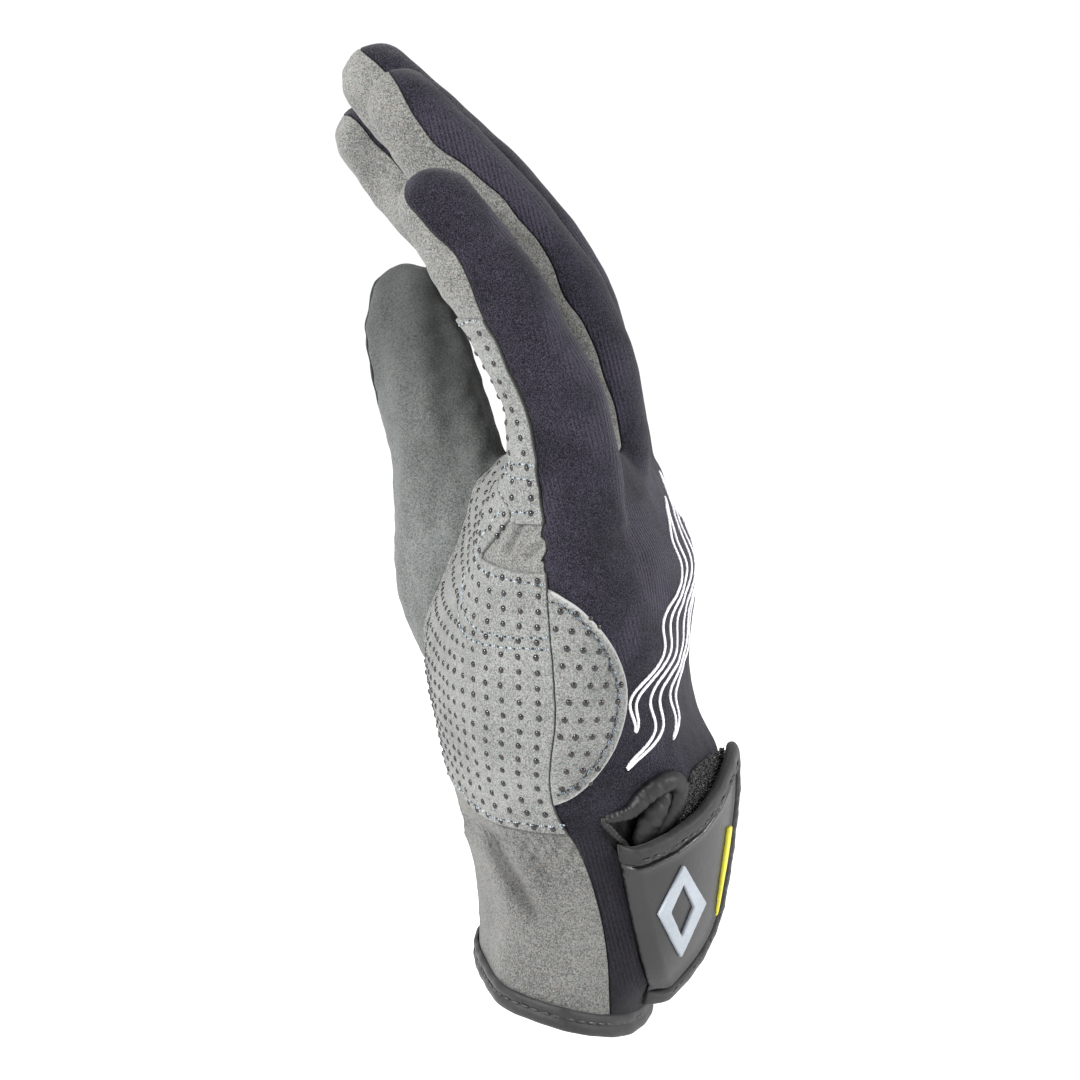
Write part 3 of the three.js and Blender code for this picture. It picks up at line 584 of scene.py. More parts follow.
def piece(name, points, faces, finish, slot, marks=None):
    """Millimetre points to a finished object at the origin, in metres."""
    mesh = bpy.data.meshes.new(name)
    faces = np.asarray(faces)
    mesh.vertices.add(len(points))
    mesh.vertices.foreach_set("co", (np.asarray(points) * MM).ravel())
    mesh.loops.add(faces.size)
    mesh.loops.foreach_set("vertex_index", faces.ravel().astype(np.int32))
    mesh.polygons.add(len(faces))
    mesh.polygons.foreach_set("loop_start", np.arange(0, faces.size, faces.shape[1], dtype=np.int32))
    mesh.update(calc_edges=True)
    mesh.validate()
    mesh.shade_smooth()
    for key, values in (marks or {}).items():
        mesh.attributes.new(key, "FLOAT", "POINT").data.foreach_set("value", np.asarray(values, float))
    made = placed(name, mesh)
    mesh.materials.append(finish)
    finished.append((made, slot))


def shell(name, cloth, top, bottom, finish, slot, keep=("rim",)):
    """A closed piece between two heights over the cloth."""
    n = len(cloth.at)
    top = np.broadcast_to(np.asarray(top, float), n)[:, None]
    bottom = np.broadcast_to(np.asarray(bottom, float), n)[:, None]
    points = np.vstack([cloth.at + cloth.out * top, cloth.at + cloth.out * bottom])
    marks = {k: np.tile(cloth.marks[k], 2) for k in keep if k in cloth.marks}
    piece(name, points, cloth.closed_faces(), finish, slot, marks)


# Finishes: a shader value that can be written as sums and products
class Value:
    def __init__(self, finish, socket):
        self.finish, self.socket = finish, socket

    def sum_of(self, operation, first, second):
        return self.finish.node("ShaderNodeMath", {"operation": operation}, {0: first, 1: second})

    def __add__(self, other):
        return self.sum_of("ADD", self, other)

    def __sub__(self, other):
        return self.sum_of("SUBTRACT", self, other)

    def __rsub__(self, other):
        return self.sum_of("SUBTRACT", other, self)

    def __mul__(self, other):
        return self.sum_of("MULTIPLY", self, other)

    __radd__ = __add__
    __rmul__ = __mul__


def linear(colour, times=1.0):
    """A colour read off on the 0 to 255 scale, as the shader wants it; times darkens it."""
    parts = [c * times / 255 for c in colour]
    return (*[c / 12.92 if c <= 0.04045 else ((c + 0.055) / 1.055) ** 2.4 for c in parts], 1.0)


class Finish:
    def __init__(self, name, **settings):
        self.material = bpy.data.materials.new(name)
        self.material.use_nodes = True
        self.tree = self.material.node_tree
        self.tree.nodes.clear()
        self.shader = self.tree.nodes.new("ShaderNodeBsdfPrincipled")
        output = self.tree.nodes.new("ShaderNodeOutputMaterial")
        self.tree.links.new(self.shader.outputs[0], output.inputs[0])
        for key, value in settings.items():
            self.shader.inputs[key.replace("_", " ")].default_value = value
        self.place = self.node("ShaderNodeTexCoord", output="Object")

    def node(self, kind, settings=None, inputs=None, output=0):
        made = self.tree.nodes.new(kind)
        for key, value in (settings or {}).items():
            setattr(made, key, value)
        for key, value in (inputs or {}).items():
            self.feed(made.inputs[key], value)
        return Value(self, made.outputs[output])

    def feed(self, socket, value):
        if isinstance(value, Value):
            self.tree.links.new(value.socket, socket)
        else:
            socket.default_value = value

    def stretched(self, turn=(0, 0, 0), scale=(1, 1, 1)):
        return self.node("ShaderNodeMapping", None, {"Vector": self.place, "Rotation": turn, "Scale": scale})

    def noise(self, size, detail=2.0, rough=0.5, place=None):
        """Clouds of one size in millimetres, about 0 to 1 with its middle at 0.5."""
        return self.node("ShaderNodeTexNoise", {"noise_dimensions": "3D"},
                         {"Vector": place or self.place, "Scale": 1000 / size, "Detail": detail,
                          "Roughness": rough})

    def bands(self, pitch, turn, bend=0.0):
        """Ribs of one pitch in millimetres."""
        return self.node("ShaderNodeTexWave", {"wave_type": "BANDS", "bands_direction": "X"},
                         {"Vector": self.stretched(turn), "Scale": 314 / pitch, "Distortion": bend,
                          "Detail": 1.0, "Detail Scale": 1.2}, output="Fac")

    def height(self):
        """Height over the wrist opening in millimetres."""
        return self.node("ShaderNodeSeparateXYZ", None, {0: self.place}, output="Z") * 1000

    def mark(self, name):
        return self.node("ShaderNodeAttribute", {"attribute_type": "GEOMETRY", "attribute_name": name},
                         output="Fac")

    def steep(self, value, low, high):
        """0 below low and 1 above high."""
        return self.node("ShaderNodeMapRange", {"interpolation_type": "SMOOTHSTEP"},
                         {"Value": value, "From Min": low, "From Max": high})

    def mix(self, first, second, share):
        return self.node("ShaderNodeMix", {"data_type": "RGBA"},
                         {0: share, 6: first, 7: second}, output=2)

    def colour(self, value):
        self.feed(self.shader.inputs["Base Color"], value)

    def rough(self, value):
        self.feed(self.shader.inputs["Roughness"], value)

    def bump(self, height, depth):
        """Relief; the depth is in millimetres."""
        sizes = {"Strength": 1.0, "Distance": depth * MM, "Height": height}
        self.feed(self.shader.inputs["Normal"], self.node("ShaderNodeBump", None, sizes))


def suede(name, light, dark, warm, pucker=False, shade=None, painted_crease_shade=False, streaks=0.0):
    """Short grey nap; painted shade is given as two heights and how dark the cloth is at the first, and
    creases and seams can get painted shade too.
    """
    f = Finish(name, Sheen_Weight=0.1, Sheen_Roughness=0.6, Specular_IOR_Level=0.1)
    nap = f.noise(0.36, 2.0, 0.7)
    tuft = f.noise(0.8, 2.0, 0.6)
    cloud = f.noise(13.0, 3.0, 0.55)
    tone = nap * 0.7 + tuft * 0.14 + cloud * 0.16
    if streaks:
        streak = f.noise(8.0, 2.0, 0.5, f.stretched(turn=(0.0, 0.55, 0.0), scale=(1, 1, 0.4)))
        tone = tone + (streak - 0.5) * streaks
    base = f.mix(linear(dark), linear(light), f.steep(tone, 0.37, 0.63))
    fleck = f.noise(0.42, 2.0, 0.7, f.stretched(scale=(1, 1.3, 0.8)))
    base = f.mix(base, linear(warm), f.steep(fleck, 0.5, 0.66) * 0.5)
    base = f.mix(base, linear([warm[0] * 0.76, warm[1] * 0.92, warm[2] * 0.97]),
                 f.steep(1 - fleck, 0.5, 0.66) * 0.42)
    # Painted shade: the cloth is darker at the first height and fades back to its own colour by the second.
    if shade:
        start, end, share = shade
        base = f.mix(f.mix(base, linear(dark, 0.5), share), base,
                     f.steep(f.height() + (cloud - 0.5) * 40.0, start, end))
    # Painted shade in the valleys of the folds.
    if painted_crease_shade:
        base = f.mix(base, linear(dark, 0.45), f.steep(f.mark("crease"), 0.05, 1.5) * 0.5)
    # Painted shade along the seams, where the edges roll into a groove.
    base = f.mix(linear(dark, 0.75), base, f.steep(f.mark("rim"), 0.0, 0.3))
    base = f.mix(base, linear([c + 30 for c in light]), f.mark("raw") * 0.7)
    f.colour(base)
    f.rough(0.88 + nap * 0.12)
    height = nap * 0.6 + tuft * 0.4
    if pucker:
        mask = f.steep(f.height(), 31.0, 35.0) * (1 - f.steep(f.height(), 38.0, 41.0))
        height = height + mask * f.bands(2.1, (0.0, 0.62, 0.5), 5.0) * 1.9
    f.bump(height, 0.24)
    return f.material


def knit(name, light, dark):
    """Brushed knit face: fine loops, with painted shade low on the cuff, where the strap shades it, and along
    the seams.
    """
    f = Finish(name, Sheen_Weight=0.12, Sheen_Roughness=0.4, Specular_IOR_Level=0.12)
    loop = f.noise(0.27, 1.0, 0.5, f.stretched(scale=(1, 1, 0.85)))
    tuft = f.noise(1.0, 2.0)
    cloud = f.noise(12.0, 2.0)
    flank = f.mark("flank")
    rib = f.bands(0.95, (0.0, 0.24, 0.0), 0.5) * flank + f.bands(0.95, (0.0, 0.0, 1.57), 0.5) * (1 - flank)
    rib = rib * f.steep(f.noise(20.0, 1.0), 0.45, 0.6)
    tone = f.steep(loop * 0.66 + tuft * 0.06 + rib * 0.12 + cloud * 0.16, 0.31, 0.69)
    base = f.mix(linear(dark), linear(light), tone)
    # Painted shade: a darker copy of the knit low on the cuff, where the strap shades it.
    low = f.mix(linear(dark, 0.62), linear(light, 0.62), tone)
    base = f.mix(low, base, f.steep(f.height(), 34.0, 50.0))
    # Painted shade along the seams, in the rolled groove.
    f.colour(f.mix(linear(dark, 0.4), base, f.steep(f.mark("rim"), 0.0, 0.5)))
    f.rough(0.8 + loop * 0.16)
    f.bump(loop * 0.7 + rib * 0.3, 0.3)
    return f.material


def binding(name, light, dark):
    f = Finish(name, Sheen_Weight=0.08, Specular_IOR_Level=0.35)
    rib = f.noise(0.4, 2.0, 0.5, f.stretched(scale=(1, 1, 2.2)))
    grain = f.noise(0.9, 3.0)
    worn = f.noise(6.0, 2.0)
    f.colour(f.mix(linear(dark), linear(light), f.steep(rib * 0.3 + grain * 0.35 + worn * 0.35, 0.34, 0.66)))
    f.rough(0.48 + grain * 0.2)
    f.bump(rib * 0.4 + grain * 0.6, 0.09)
    return f.material


def moulded(name, light, dark, rough, grain=0.9, depth=0.05, painted_groove_shade=False):
    f = Finish(name, Specular_IOR_Level=0.5)
    speck = f.noise(grain, 3.0, 0.6)
    cloud = f.noise(8.0, 2.0)
    base = f.mix(linear(dark), linear(light), f.steep(speck * 0.5 + cloud * 0.5, 0.34, 0.66))
    # Painted shadow in the groove along the tape and along the sewn edge.
    if painted_groove_shade:
        base = f.mix(linear(dark, 0.25), base, f.steep(f.mark("rim"), 0.0, 0.6))
    f.colour(base)
    f.rough(rough - 0.06 + speck * 0.12)
    f.bump(speck + f.noise(2.6, 2.0) * 0.8, depth)
    return f.material


def coated(name, light, dark):
    f = Finish(name, Specular_IOR_Level=0.35)
    crease = f.noise(2.6, 3.0, 0.5, f.stretched(scale=(1, 1, 0.45), turn=(0, 0.7, 0)))
    speck = f.noise(0.6, 2.0)
    f.colour(f.mix(linear(dark), linear(light), f.steep(crease * 0.7 + speck * 0.3, 0.34, 0.66)))
    f.rough(0.47 + speck * 0.1)
    f.bump(crease * 0.9 + speck * 0.1, 0.3)
    return f.material


def thread(name, light, dark, rough=0.45):
    f = Finish(name, Specular_IOR_Level=0.6)
    ply = f.bands(0.42, (0.3, 0.5, 0.8), 0.4)
    # Light and dark along the thread: partly the twist of the plies, partly painted glints.
    f.colour(f.mix(linear(dark), linear(light), f.steep(ply * 0.35 + f.noise(1.5, 1.0) * 0.65, 0.36, 0.64)))
    f.rough(rough - 0.05 + ply * 0.1)
    f.bump(ply, 0.06)
    return f.material


NEOPRENE = knit("knit_face_neoprene", (57, 54, 66), (8, 7, 11))
# Painted shade: the palm suede darkens towards the wrist and in its creases, the thumb's suede towards its
# top.
SUEDE = suede("grey_suede", (124, 124, 121), (52, 52, 51), (126, 117, 109), pucker=True,
              shade=(25.0, 110.0, 0.2), painted_crease_shade=True)
THUMB_SUEDE = suede("grey_suede_thumb", (109, 112, 111), (60, 62, 62), (108, 101, 95),
                    shade=(168.0, 92.0, 0.62), streaks=0.22)
DOTTED_SUEDE = suede("grip_suede", (131, 132, 130), (65, 66, 65), (130, 122, 115))
TAPE = binding("binding_tape", (34, 32, 34), (13, 12, 13))
GUSSET_CLOTH = coated("gusset_cloth", (23, 23, 25), (5, 5, 6))
PILE = thread("loop_pile", (34, 34, 38), (3, 3, 4), 0.2)
PILE_GROUND = thread("loop_ground", (14, 14, 16), (3, 3, 4), 0.7)
STRAP_RUBBER = moulded("strap_rubber", (18, 18, 20), (12, 12, 14), 0.34, painted_groove_shade=True)
PALE_RUBBER = moulded("pale_rubber", (143, 149, 156), (130, 136, 143), 0.42, 0.7, 0.03)
YELLOW_RUBBER = moulded("yellow_rubber", (196, 188, 44), (180, 172, 34), 0.42, 0.7, 0.03)
DOT_RUBBER = moulded("dot_rubber", (27, 20, 22), (10, 7, 9), 0.13, 0.5, 0.02)
PALE_THREAD = thread("pale_thread", (158, 169, 177), (38, 44, 50), 0.4)
GREY_THREAD = thread("grey_thread", (92, 104, 114), (8, 9, 12), 0.25)
DARK_THREAD = thread("dark_thread", (34, 34, 38), (9, 9, 11))
WHITE_THREAD = thread("white_thread", (236, 236, 239), (204, 204, 210))
# Painted shade for the needle holes between stitches.
NEEDLE_SHADE = thread("needle_hole_shade", (14, 14, 15), (5, 5, 6), 0.8)


# Geometry Nodes: one small shape repeated over points that know their facing and direction
def repeated(name, points, facing, along, size, finish, slot, length, width, height, round_by=10, rings=6):
    tree = bpy.data.node_groups.new(name, "GeometryNodeTree")
    tree.interface.new_socket("Points", in_out="INPUT", socket_type="NodeSocketGeometry")
    sizes = [tree.interface.new_socket(key, in_out="INPUT", socket_type="NodeSocketFloat")
             for key in ("Length", "Width", "Height")]
    tree.interface.new_socket("Geometry", in_out="OUTPUT", socket_type="NodeSocketGeometry")

    def node(kind, **settings):
        made = tree.nodes.new(kind)
        for key, value in settings.items():
            setattr(made, key, value)
        return made

    def named(key, kind):
        made = node("GeometryNodeInputNamedAttribute", data_type=kind)
        made.inputs["Name"].default_value = key
        return made.outputs["Attribute"]

    given, result = node("NodeGroupInput"), node("NodeGroupOutput")
    ball = node("GeometryNodeMeshUVSphere")
    ball.inputs["Segments"].default_value = round_by
    ball.inputs["Rings"].default_value = rings
    ball.inputs["Radius"].default_value = 0.5
    shape = node("ShaderNodeCombineXYZ")
    stretch = node("GeometryNodeTransform")
    turn = node("FunctionNodeAxesToRotation", primary_axis="Z", secondary_axis="X")
    place = node("GeometryNodeInstanceOnPoints")
    real, smooth, coat = (node("GeometryNodeRealizeInstances"), node("GeometryNodeSetShadeSmooth"),
                          node("GeometryNodeSetMaterial"))
    coat.inputs["Material"].default_value = finish
    link = tree.links.new
    for i, key in enumerate(("Length", "Width", "Height")):
        link(given.outputs[key], shape.inputs[i])
    link(ball.outputs["Mesh"], stretch.inputs["Geometry"])
    link(shape.outputs[0], stretch.inputs["Scale"])
    link(named("facing", "FLOAT_VECTOR"), turn.inputs[0])
    link(named("along", "FLOAT_VECTOR"), turn.inputs[1])
    link(given.outputs["Points"], place.inputs["Points"])
    link(stretch.outputs["Geometry"], place.inputs["Instance"])
    link(turn.outputs[0], place.inputs["Rotation"])
    link(named("size", "FLOAT"), place.inputs["Scale"])
    link(place.outputs[0], real.inputs[0])
    link(real.outputs[0], smooth.inputs[0])
    link(smooth.outputs[0], coat.inputs["Geometry"])
    link(coat.outputs[0], result.inputs[0])

    mesh = bpy.data.meshes.new(name)
    mesh.from_pydata((np.asarray(points) * MM).tolist(), [], [])
    for key, kind, values in (("facing", "FLOAT_VECTOR", facing), ("along", "FLOAT_VECTOR", along)):
        mesh.attributes.new(key, kind, "POINT").data.foreach_set("vector", np.asarray(values, float).ravel())
    mesh.attributes.new("size", "FLOAT", "POINT").data.foreach_set("value", np.asarray(size, float))
    made = placed(name, mesh)
    repeat = made.modifiers.new("repeat", "NODES")
    repeat.node_group = tree
    for socket, value in zip(sizes, (length, width, height)):
        repeat[socket.identifier] = value * MM
    done = bpy.data.meshes.new_from_object(made.evaluated_get(bpy.context.evaluated_depsgraph_get()))
    made.modifiers.remove(repeat)
    made.data = done
    done.name = name
    if not done.materials:
        done.materials.append(finish)
    finished.append((made, slot))


class Surface:
    """The outside of a piece, to lay stitches and dots on."""
    def __init__(self, cloth, top):
        at = cloth.at + cloth.out * np.broadcast_to(np.asarray(top, float), len(cloth.at))[:, None]
        self.tree = BVHTree.FromPolygons(at.tolist(), cloth.faces.tolist())
        self.out = cloth.out
        self.faces = cloth.faces

    def drop(self, points, reach):
        """Nearest points, their facing, and which of them were found within reach."""
        at, facing, found = [], [], []
        for p in np.asarray(points, float):
            hit, _, face, away = self.tree.find_nearest(Vector(p))
            at.append(hit)
            facing.append(self.out[self.faces[face]].mean(0))
            found.append(away <= reach)
        return np.array([tuple(p) for p in at]), unit(np.array(facing)), np.array(found)


def evenly(points, pitch):
    """Points at one pitch along a line, with its direction."""
    points = np.asarray(points, float)
    length = run_of(points)
    at = np.arange(0.5 * pitch, length[-1], pitch)
    made, ahead, behind = (np.stack([np.interp(at + step, length, points[:, c]) for c in range(3)], 1)
                           for step in (0.0, 0.3, -0.3))
    return made, unit(ahead - behind)


def turned(way, side, angle):
    return way * np.cos(angle)[:, None] + side * np.sin(angle)[:, None]


# Length, width and height of the small dark mark, painted shade, that stands for the hole the needle leaves
# between two stitches
NEEDLE_SHADE_SIZE = (0.8, 0.62, 0.22)


def stitched(name, surface, lines, finish, slot, pitch, long, wide, high, seed, reach, sink=0.02):
    """Rows of stitches on a surface, with a dark mark of painted shade in the needle hole between each two.
    """
    rng = np.random.default_rng(seed)
    parts = []
    for line in lines:
        points, way = evenly(surface.drop(line, 99)[0], pitch)
        at, facing, found = surface.drop(points, reach)
        side = np.cross(facing, way)
        way = turned(way, side, rng.normal(0, 0.06, len(at)))
        at = at + side * rng.normal(0, 0.05, len(at))[:, None] - facing * sink
        parts.append((at[found], facing[found], way[found], rng.uniform(0.92, 1.06, found.sum())))
    at, facing, way, size = (np.concatenate(p) for p in zip(*parts))
    # Dark marks of painted shade in the needle holes, halfway between stitches.
    between = at + way * pitch / 2 - facing * 0.02
    repeated(name.replace("stitches", "needle_hole_shades"), between, facing, way, size, NEEDLE_SHADE, slot,
             *NEEDLE_SHADE_SIZE, 8, 5)
    repeated(name, at, facing, way, size, finish, slot, long, wide, high)


class Line:
    """A line with a known facing, for stitches that need no surface under them."""
    def __init__(self, points, facing):
        self.points, self.facing = np.asarray(points, float), np.asarray(facing, float)

    def stations(self, pitch):
        """Places at one pitch, the facing of the nearest point, and the direction."""
        at, way = evenly(self.points, pitch)
        tree = tree_of(self.points)
        return at, np.array([self.facing[tree.find(p)[1]] for p in at]), way


def stitched_line(name, line, finish, slot, pitch, long, wide, high, seed):
    rng = np.random.default_rng(seed)
    at, facing, way = line.stations(pitch)
    repeated(name, at, facing, way, rng.uniform(0.93, 1.06, len(at)), finish, slot, long, wide, high)


def satin(name, lines, finish, slot, pitch, long, wide, high, slant):
    """Close slanting stitches along lines, as embroidery."""
    rng = np.random.default_rng(17)
    parts = []
    for line in lines:
        at, facing, way = line.stations(pitch)
        way = turned(way, np.cross(facing, way), slant + rng.normal(0, 0.05, len(at)))
        parts.append((at, facing, way, rng.uniform(0.92, 1.06, len(at))))
    at, facing, way, size = (np.concatenate(p) for p in zip(*parts))
    repeated(name, at, facing, way, size, finish, slot, long, wide, high, 8, 5)


# The skin of the whole glove
def seam_x(y, z):
    """x of the sheet that parts the suede from the neoprene."""
    stations = []
    above = np.maximum(z, TOP_OF_HAND)
    for name, near_y, near_base, near_tip, far_y, far_base, far_tip in FINGER_SEAMS:
        rows = np.array(FINGERS[name])
        tip = rows[-1, 2]
        slope = (rows[-1, 0] - rows[-2, 0]) / (rows[-1, 2] - rows[-2, 2])
        middle = blend_rows(rows[:, [2, 0]], np.minimum(above, tip))[:, 0]
        middle = middle + slope * np.maximum(above - tip, 0)
        f = np.clip((z - TOP_OF_HAND) / (tip - TOP_OF_HAND), 0, 1)
        near = middle + near_base + (near_tip - near_base) * f
        if name in NEAR_SEAMS:
            near = blend_rows(NEAR_SEAMS[name], above)[:, 0]
        stations.append((near_y, near))
        stations.append((far_y, middle + far_base + (far_tip - far_base) * f))
    near, far = blend_rows(EDGE_SEAMS, z).T
    opened = np.clip((TOP_OF_HAND - z) / 6, 0, 1)
    ys = np.array([s[0] for s in stations], float)
    xs = np.stack([s[1] for s in stations])
    flat = near + (far - near) * ((ys[:, None] + 46) / 93)
    xs = xs + (flat - xs) * opened
    i = np.clip(np.searchsorted(ys, y) - 1, 0, len(ys) - 2)
    f = np.clip((y - ys[i]) / (ys[i + 1] - ys[i]), 0, 1)
    k = np.arange(len(y))
    return xs[i, k] + (xs[i + 1, k] - xs[i, k]) * f


# Height and depth of the nicks where the neoprene shows in the creases
NICKS = [(112.2, 0.9), (111.0, 1.7), (109.7, 1.1), (105.3, 0.8), (104.1, 1.4), (102.8, 0.9)]


def seam_wander(at):
    """The seam on the fingers is never quite straight, and creases nick it below the little finger."""
    x, y, z = at.T
    nicks = sum(deep * np.exp(-((z + 0.5 * (x + 5) - level) / 0.5) ** 2) for level, deep in NICKS)
    return 0.34 * plane_waves(at, 11, 41) * smooth_step(z, 112, 130) + nicks * smooth_step(-y, 28, 36)


def thumb_y(x, z):
    """y of the seam round the thumb; it comes forward on the side away from the fingers."""
    rows = np.array(FINGERS["thumb"])
    middle_x, middle_y, broad = (np.interp(z, rows[:, 2], rows[:, c]) for c in (0, 1, 4))
    broad = broad * np.sqrt(np.clip(1 - (np.maximum(z - rows[-1, 2], 0) / broad) ** 2, 0.04, 1))
    forward = smooth_step(middle_x - x, -3, 8) * smooth_step(z, 121, 138)
    return middle_y + THUMB_SPLIT_Y - (THUMB_SPLIT_Y + 0.28 * broad) * forward


at, faces, edges = one_skin([hand_shell(), *[finger_shell(rows) for rows in FINGERS.values()]], WEAVE_SIZE)
faces = facing_out(at, faces)
for _ in range(SMOOTHINGS):
    pull = pull_of(at, edges)
    hollow = (pull * normals_of(at, faces)).sum(1)
    at = at + pull * (0.55 * smooth_step(hollow, *HOLLOWS))[:, None]
for _ in range(3):
    at = at + 0.5 * pull_of(at, edges)
    at = at - 0.52 * pull_of(at, edges)
out = normals_of(at, faces)
suede_share = smooth_step(seam_x(at[:, 1], at[:, 2]) - at[:, 0], -0.4, 0.4)
at = at + out * relief(at, out, suede_share)[:, None]
out = normals_of(at, faces)

side_view = at[:, [0, 2]]
glove = Cloth(at, out, faces, {
    "hem": at[:, 2] - hem_z(at[:, 0], at[:, 1]),
    # crease: how deep the valley folds are; the suede paints shade along it
    "crease": np.clip(-near_folds(at, out, [fold for fold in NEAR_FOLDS if fold[5] < 0]), 0, 2),
    "seam": at[:, 0] - seam_x(at[:, 1], at[:, 2]) + seam_wander(at),
    "thumb": np.minimum(inside_by(side_view, rounded(THUMB_OUTLINE, 6)), at[:, 1] - THUMB_CUT_Y),
    "split": at[:, 1] - thumb_y(at[:, 0], at[:, 2]),
    "slit": np.where((at[:, 1] < -6) & (at[:, 0] > 0), inside_by(side_view, rounded(SLIT, 6)), -9.0)})
glove = glove.cut("hem")
for mark in ("thumb", "seam", "split", "slit"):
    glove.score(mark)


def cloth_of(skin):
    """0 neoprene of the hand, 1 suede of the hand, 2 suede of the thumb, 3 neoprene of the thumb, 4 slit"""
    return np.where(skin.over("thumb"), np.where(skin.over("split"), 3, 2),
                    np.where(skin.over("seam"), np.where(skin.over("slit"), 4, 0), 1))


# Distance to the seams: the edges roll in along it, and the finishes paint shade along it.
glove.measure("rim", glove.borders(cloth_of(glove)), 2.0)
glove.score("rim", *ROLL_LEVELS)
labels = cloth_of(glove)


def rolled(distance, by):
    """How far an edge rolls inwards at some distance from it."""
    near = np.clip(by - distance, 0, by)
    return -(by - np.sqrt(np.maximum(by * by - near * near, 0)))


def panel(name, label, finish, slot, roll, keep=("rim",)):
    cloth = glove.part(labels == label)
    cloth.marks["flank"] = smooth_step(np.abs(cloth.out[:, 1]), 0.5, 0.85)
    shell(name, cloth, rolled(cloth.marks["rim"], roll), -WALL, finish, slot, keep)
    return cloth


back_cloth = panel("back_cloth", 0, NEOPRENE, "neoprene", SEAM_ROLL, ("rim", "flank"))
palm_cloth = panel("palm_cloth", 1, SUEDE, "suede", SUEDE_ROLL, ("rim", "crease"))
panel("thumb_suede_cloth", 2, THUMB_SUEDE, "suede_thumb", SUEDE_ROLL)
panel("thumb_neoprene_cloth", 3, NEOPRENE, "neoprene", SEAM_ROLL, ("rim", "flank"))


# Patches of dotted suede, sewn on top
def brim_of(cloth, reach=3.0):
    cloth.measure("brim", cloth.borders(), reach)
    cloth.score("brim", 0.12, CUT_ROLL)


def patch(name, under, zone, roll, raw=False):
    """A patch of dotted suede cut to a zone of the cloth under it; gives its outside for stitches."""
    cloth = under.cut_to(zone)
    brim_of(cloth)
    rim, brim = cloth.marks["rim"], cloth.marks["brim"]
    sunk = rolled(rim, roll)
    top = sunk + PATCH_THICK + rolled(brim, CUT_ROLL)
    cloth.marks["raw"] = np.clip(1.6 - brim / 0.4, 0, 1) * smooth_step(rim, 0.6, 1.4)
    keep = ("rim", "raw") if raw else ("rim",)
    shell(name, cloth, top, sunk - 0.25, DOTTED_SUEDE, "suede_dotted", keep)
    return Surface(cloth, top)


OUTSIDE = -5.0
FINGER_PATCH_Y = -27
x, y = palm_cloth.at[:, 0], palm_cloth.at[:, 1]
in_palm_patch = inside_by(palm_cloth.at[:, 1:3], rounded(PALM_PATCH, 8))
zone = np.where(x < 12, in_palm_patch, OUTSIDE)
on_palm_patch = patch("palm_grip_patch", palm_cloth, zone, SUEDE_ROLL)
zone = inside_by(palm_cloth.at[:, [0, 2]], np.array(FINGER_PATCH))
zone = np.minimum(np.where(y < FINGER_PATCH_Y, zone, OUTSIDE), FINGER_PATCH_Y - y)
zone = np.minimum(zone, -0.3 - in_palm_patch)
on_finger_patch = patch("little_finger_grip_patch", palm_cloth, zone, SUEDE_ROLL)
zone = inside_by(back_cloth.at[:, [0, 2]], rounded(HALF_MOON, 8))
zone = np.where(back_cloth.at[:, 1] < -18, zone, OUTSIDE)
on_half_moon = patch("half_moon_grip_patch", back_cloth, zone, SEAM_ROLL, True)
on_back = Surface(back_cloth, 0.0)


# Places on the hand: along its section from the little-finger seam, or by one coordinate
TURNS = np.linspace(-0.12, 0.75, 500)


def section_line(z):
    at, _ = section(np.full(len(TURNS), float(z)), TURNS)
    return at


def palm_place(from_seam, z):
    """The point of the palm that lies some way along the section from the little-finger seam."""
    line = section_line(z)
    edge = seam_x(line[:, 1], np.full(len(line), float(z)))
    near = np.nonzero((line[:-1, 0] >= edge[:-1]) & (line[1:, 0] < edge[1:]) & (line[:-1, 1] < 0))[0]
    start = near[0] + 1 if len(near) else int(np.argmin(line[:, 1]))
    length = run_of(line[start:])
    return [np.interp(from_seam, length, line[start:, 0]), np.interp(from_seam, length, line[start:, 1]), z]


def palm_at(y, z):
    """The point of the palm with that y."""
    line = section_line(z)
    start = int(np.argmin(line[:, 1]))
    half = line[start:]
    half = half[:int(np.argmax(half[:, 1])) + 1]
    return [np.interp(y, half[:, 1], half[:, 0]), y, z]


def near_turn(x, z):
    """The turn at which the near side of the back has that x."""
    line = section_line(z)
    start = int(np.argmax(line[:, 0]))
    end = start + int(np.argmin(line[start:275, 0])) + 1
    return float(np.interp(-x, -line[start:end, 0], TURNS[start:end]))


def near_at(x, z, out=0.0):
    return on_hand(np.array([float(z)]), np.array([near_turn(x, z)]), np.array([out]))[0]


# Rubber dots on the patches
DOT_BROAD = 1.46
DOT_HIGH = 1.0


def dotted(name, surface, places):
    at, facing, found = surface.drop(places, 3.0)
    along = np.tile(UP, (len(at), 1))
    rng = np.random.default_rng(7)
    size = rng.uniform(0.93, 1.07, len(at))
    repeated(name, at[found] - facing[found] * 0.06, facing[found], along[found], size[found],
             DOT_RUBBER, "suede_dotted", DOT_BROAD, DOT_BROAD, DOT_HIGH, 14, 8)


def clear_of_brim(surface, places, gap):
    """Only the places whose nearest point of the patch isn't at its edge."""
    places = np.asarray(places, float)
    at, facing, found = surface.drop(places, 4.0)
    keep = found.copy()
    for across, up in ((gap, 0), (-gap, 0), (0, gap), (0, -gap)):
        moved = at + np.cross(facing, UP) * across + UP * up
        again, _, _ = surface.drop(moved, 4.0)
        keep &= np.linalg.norm(again - moved, axis=1) < 0.75 * gap
    return at[keep]


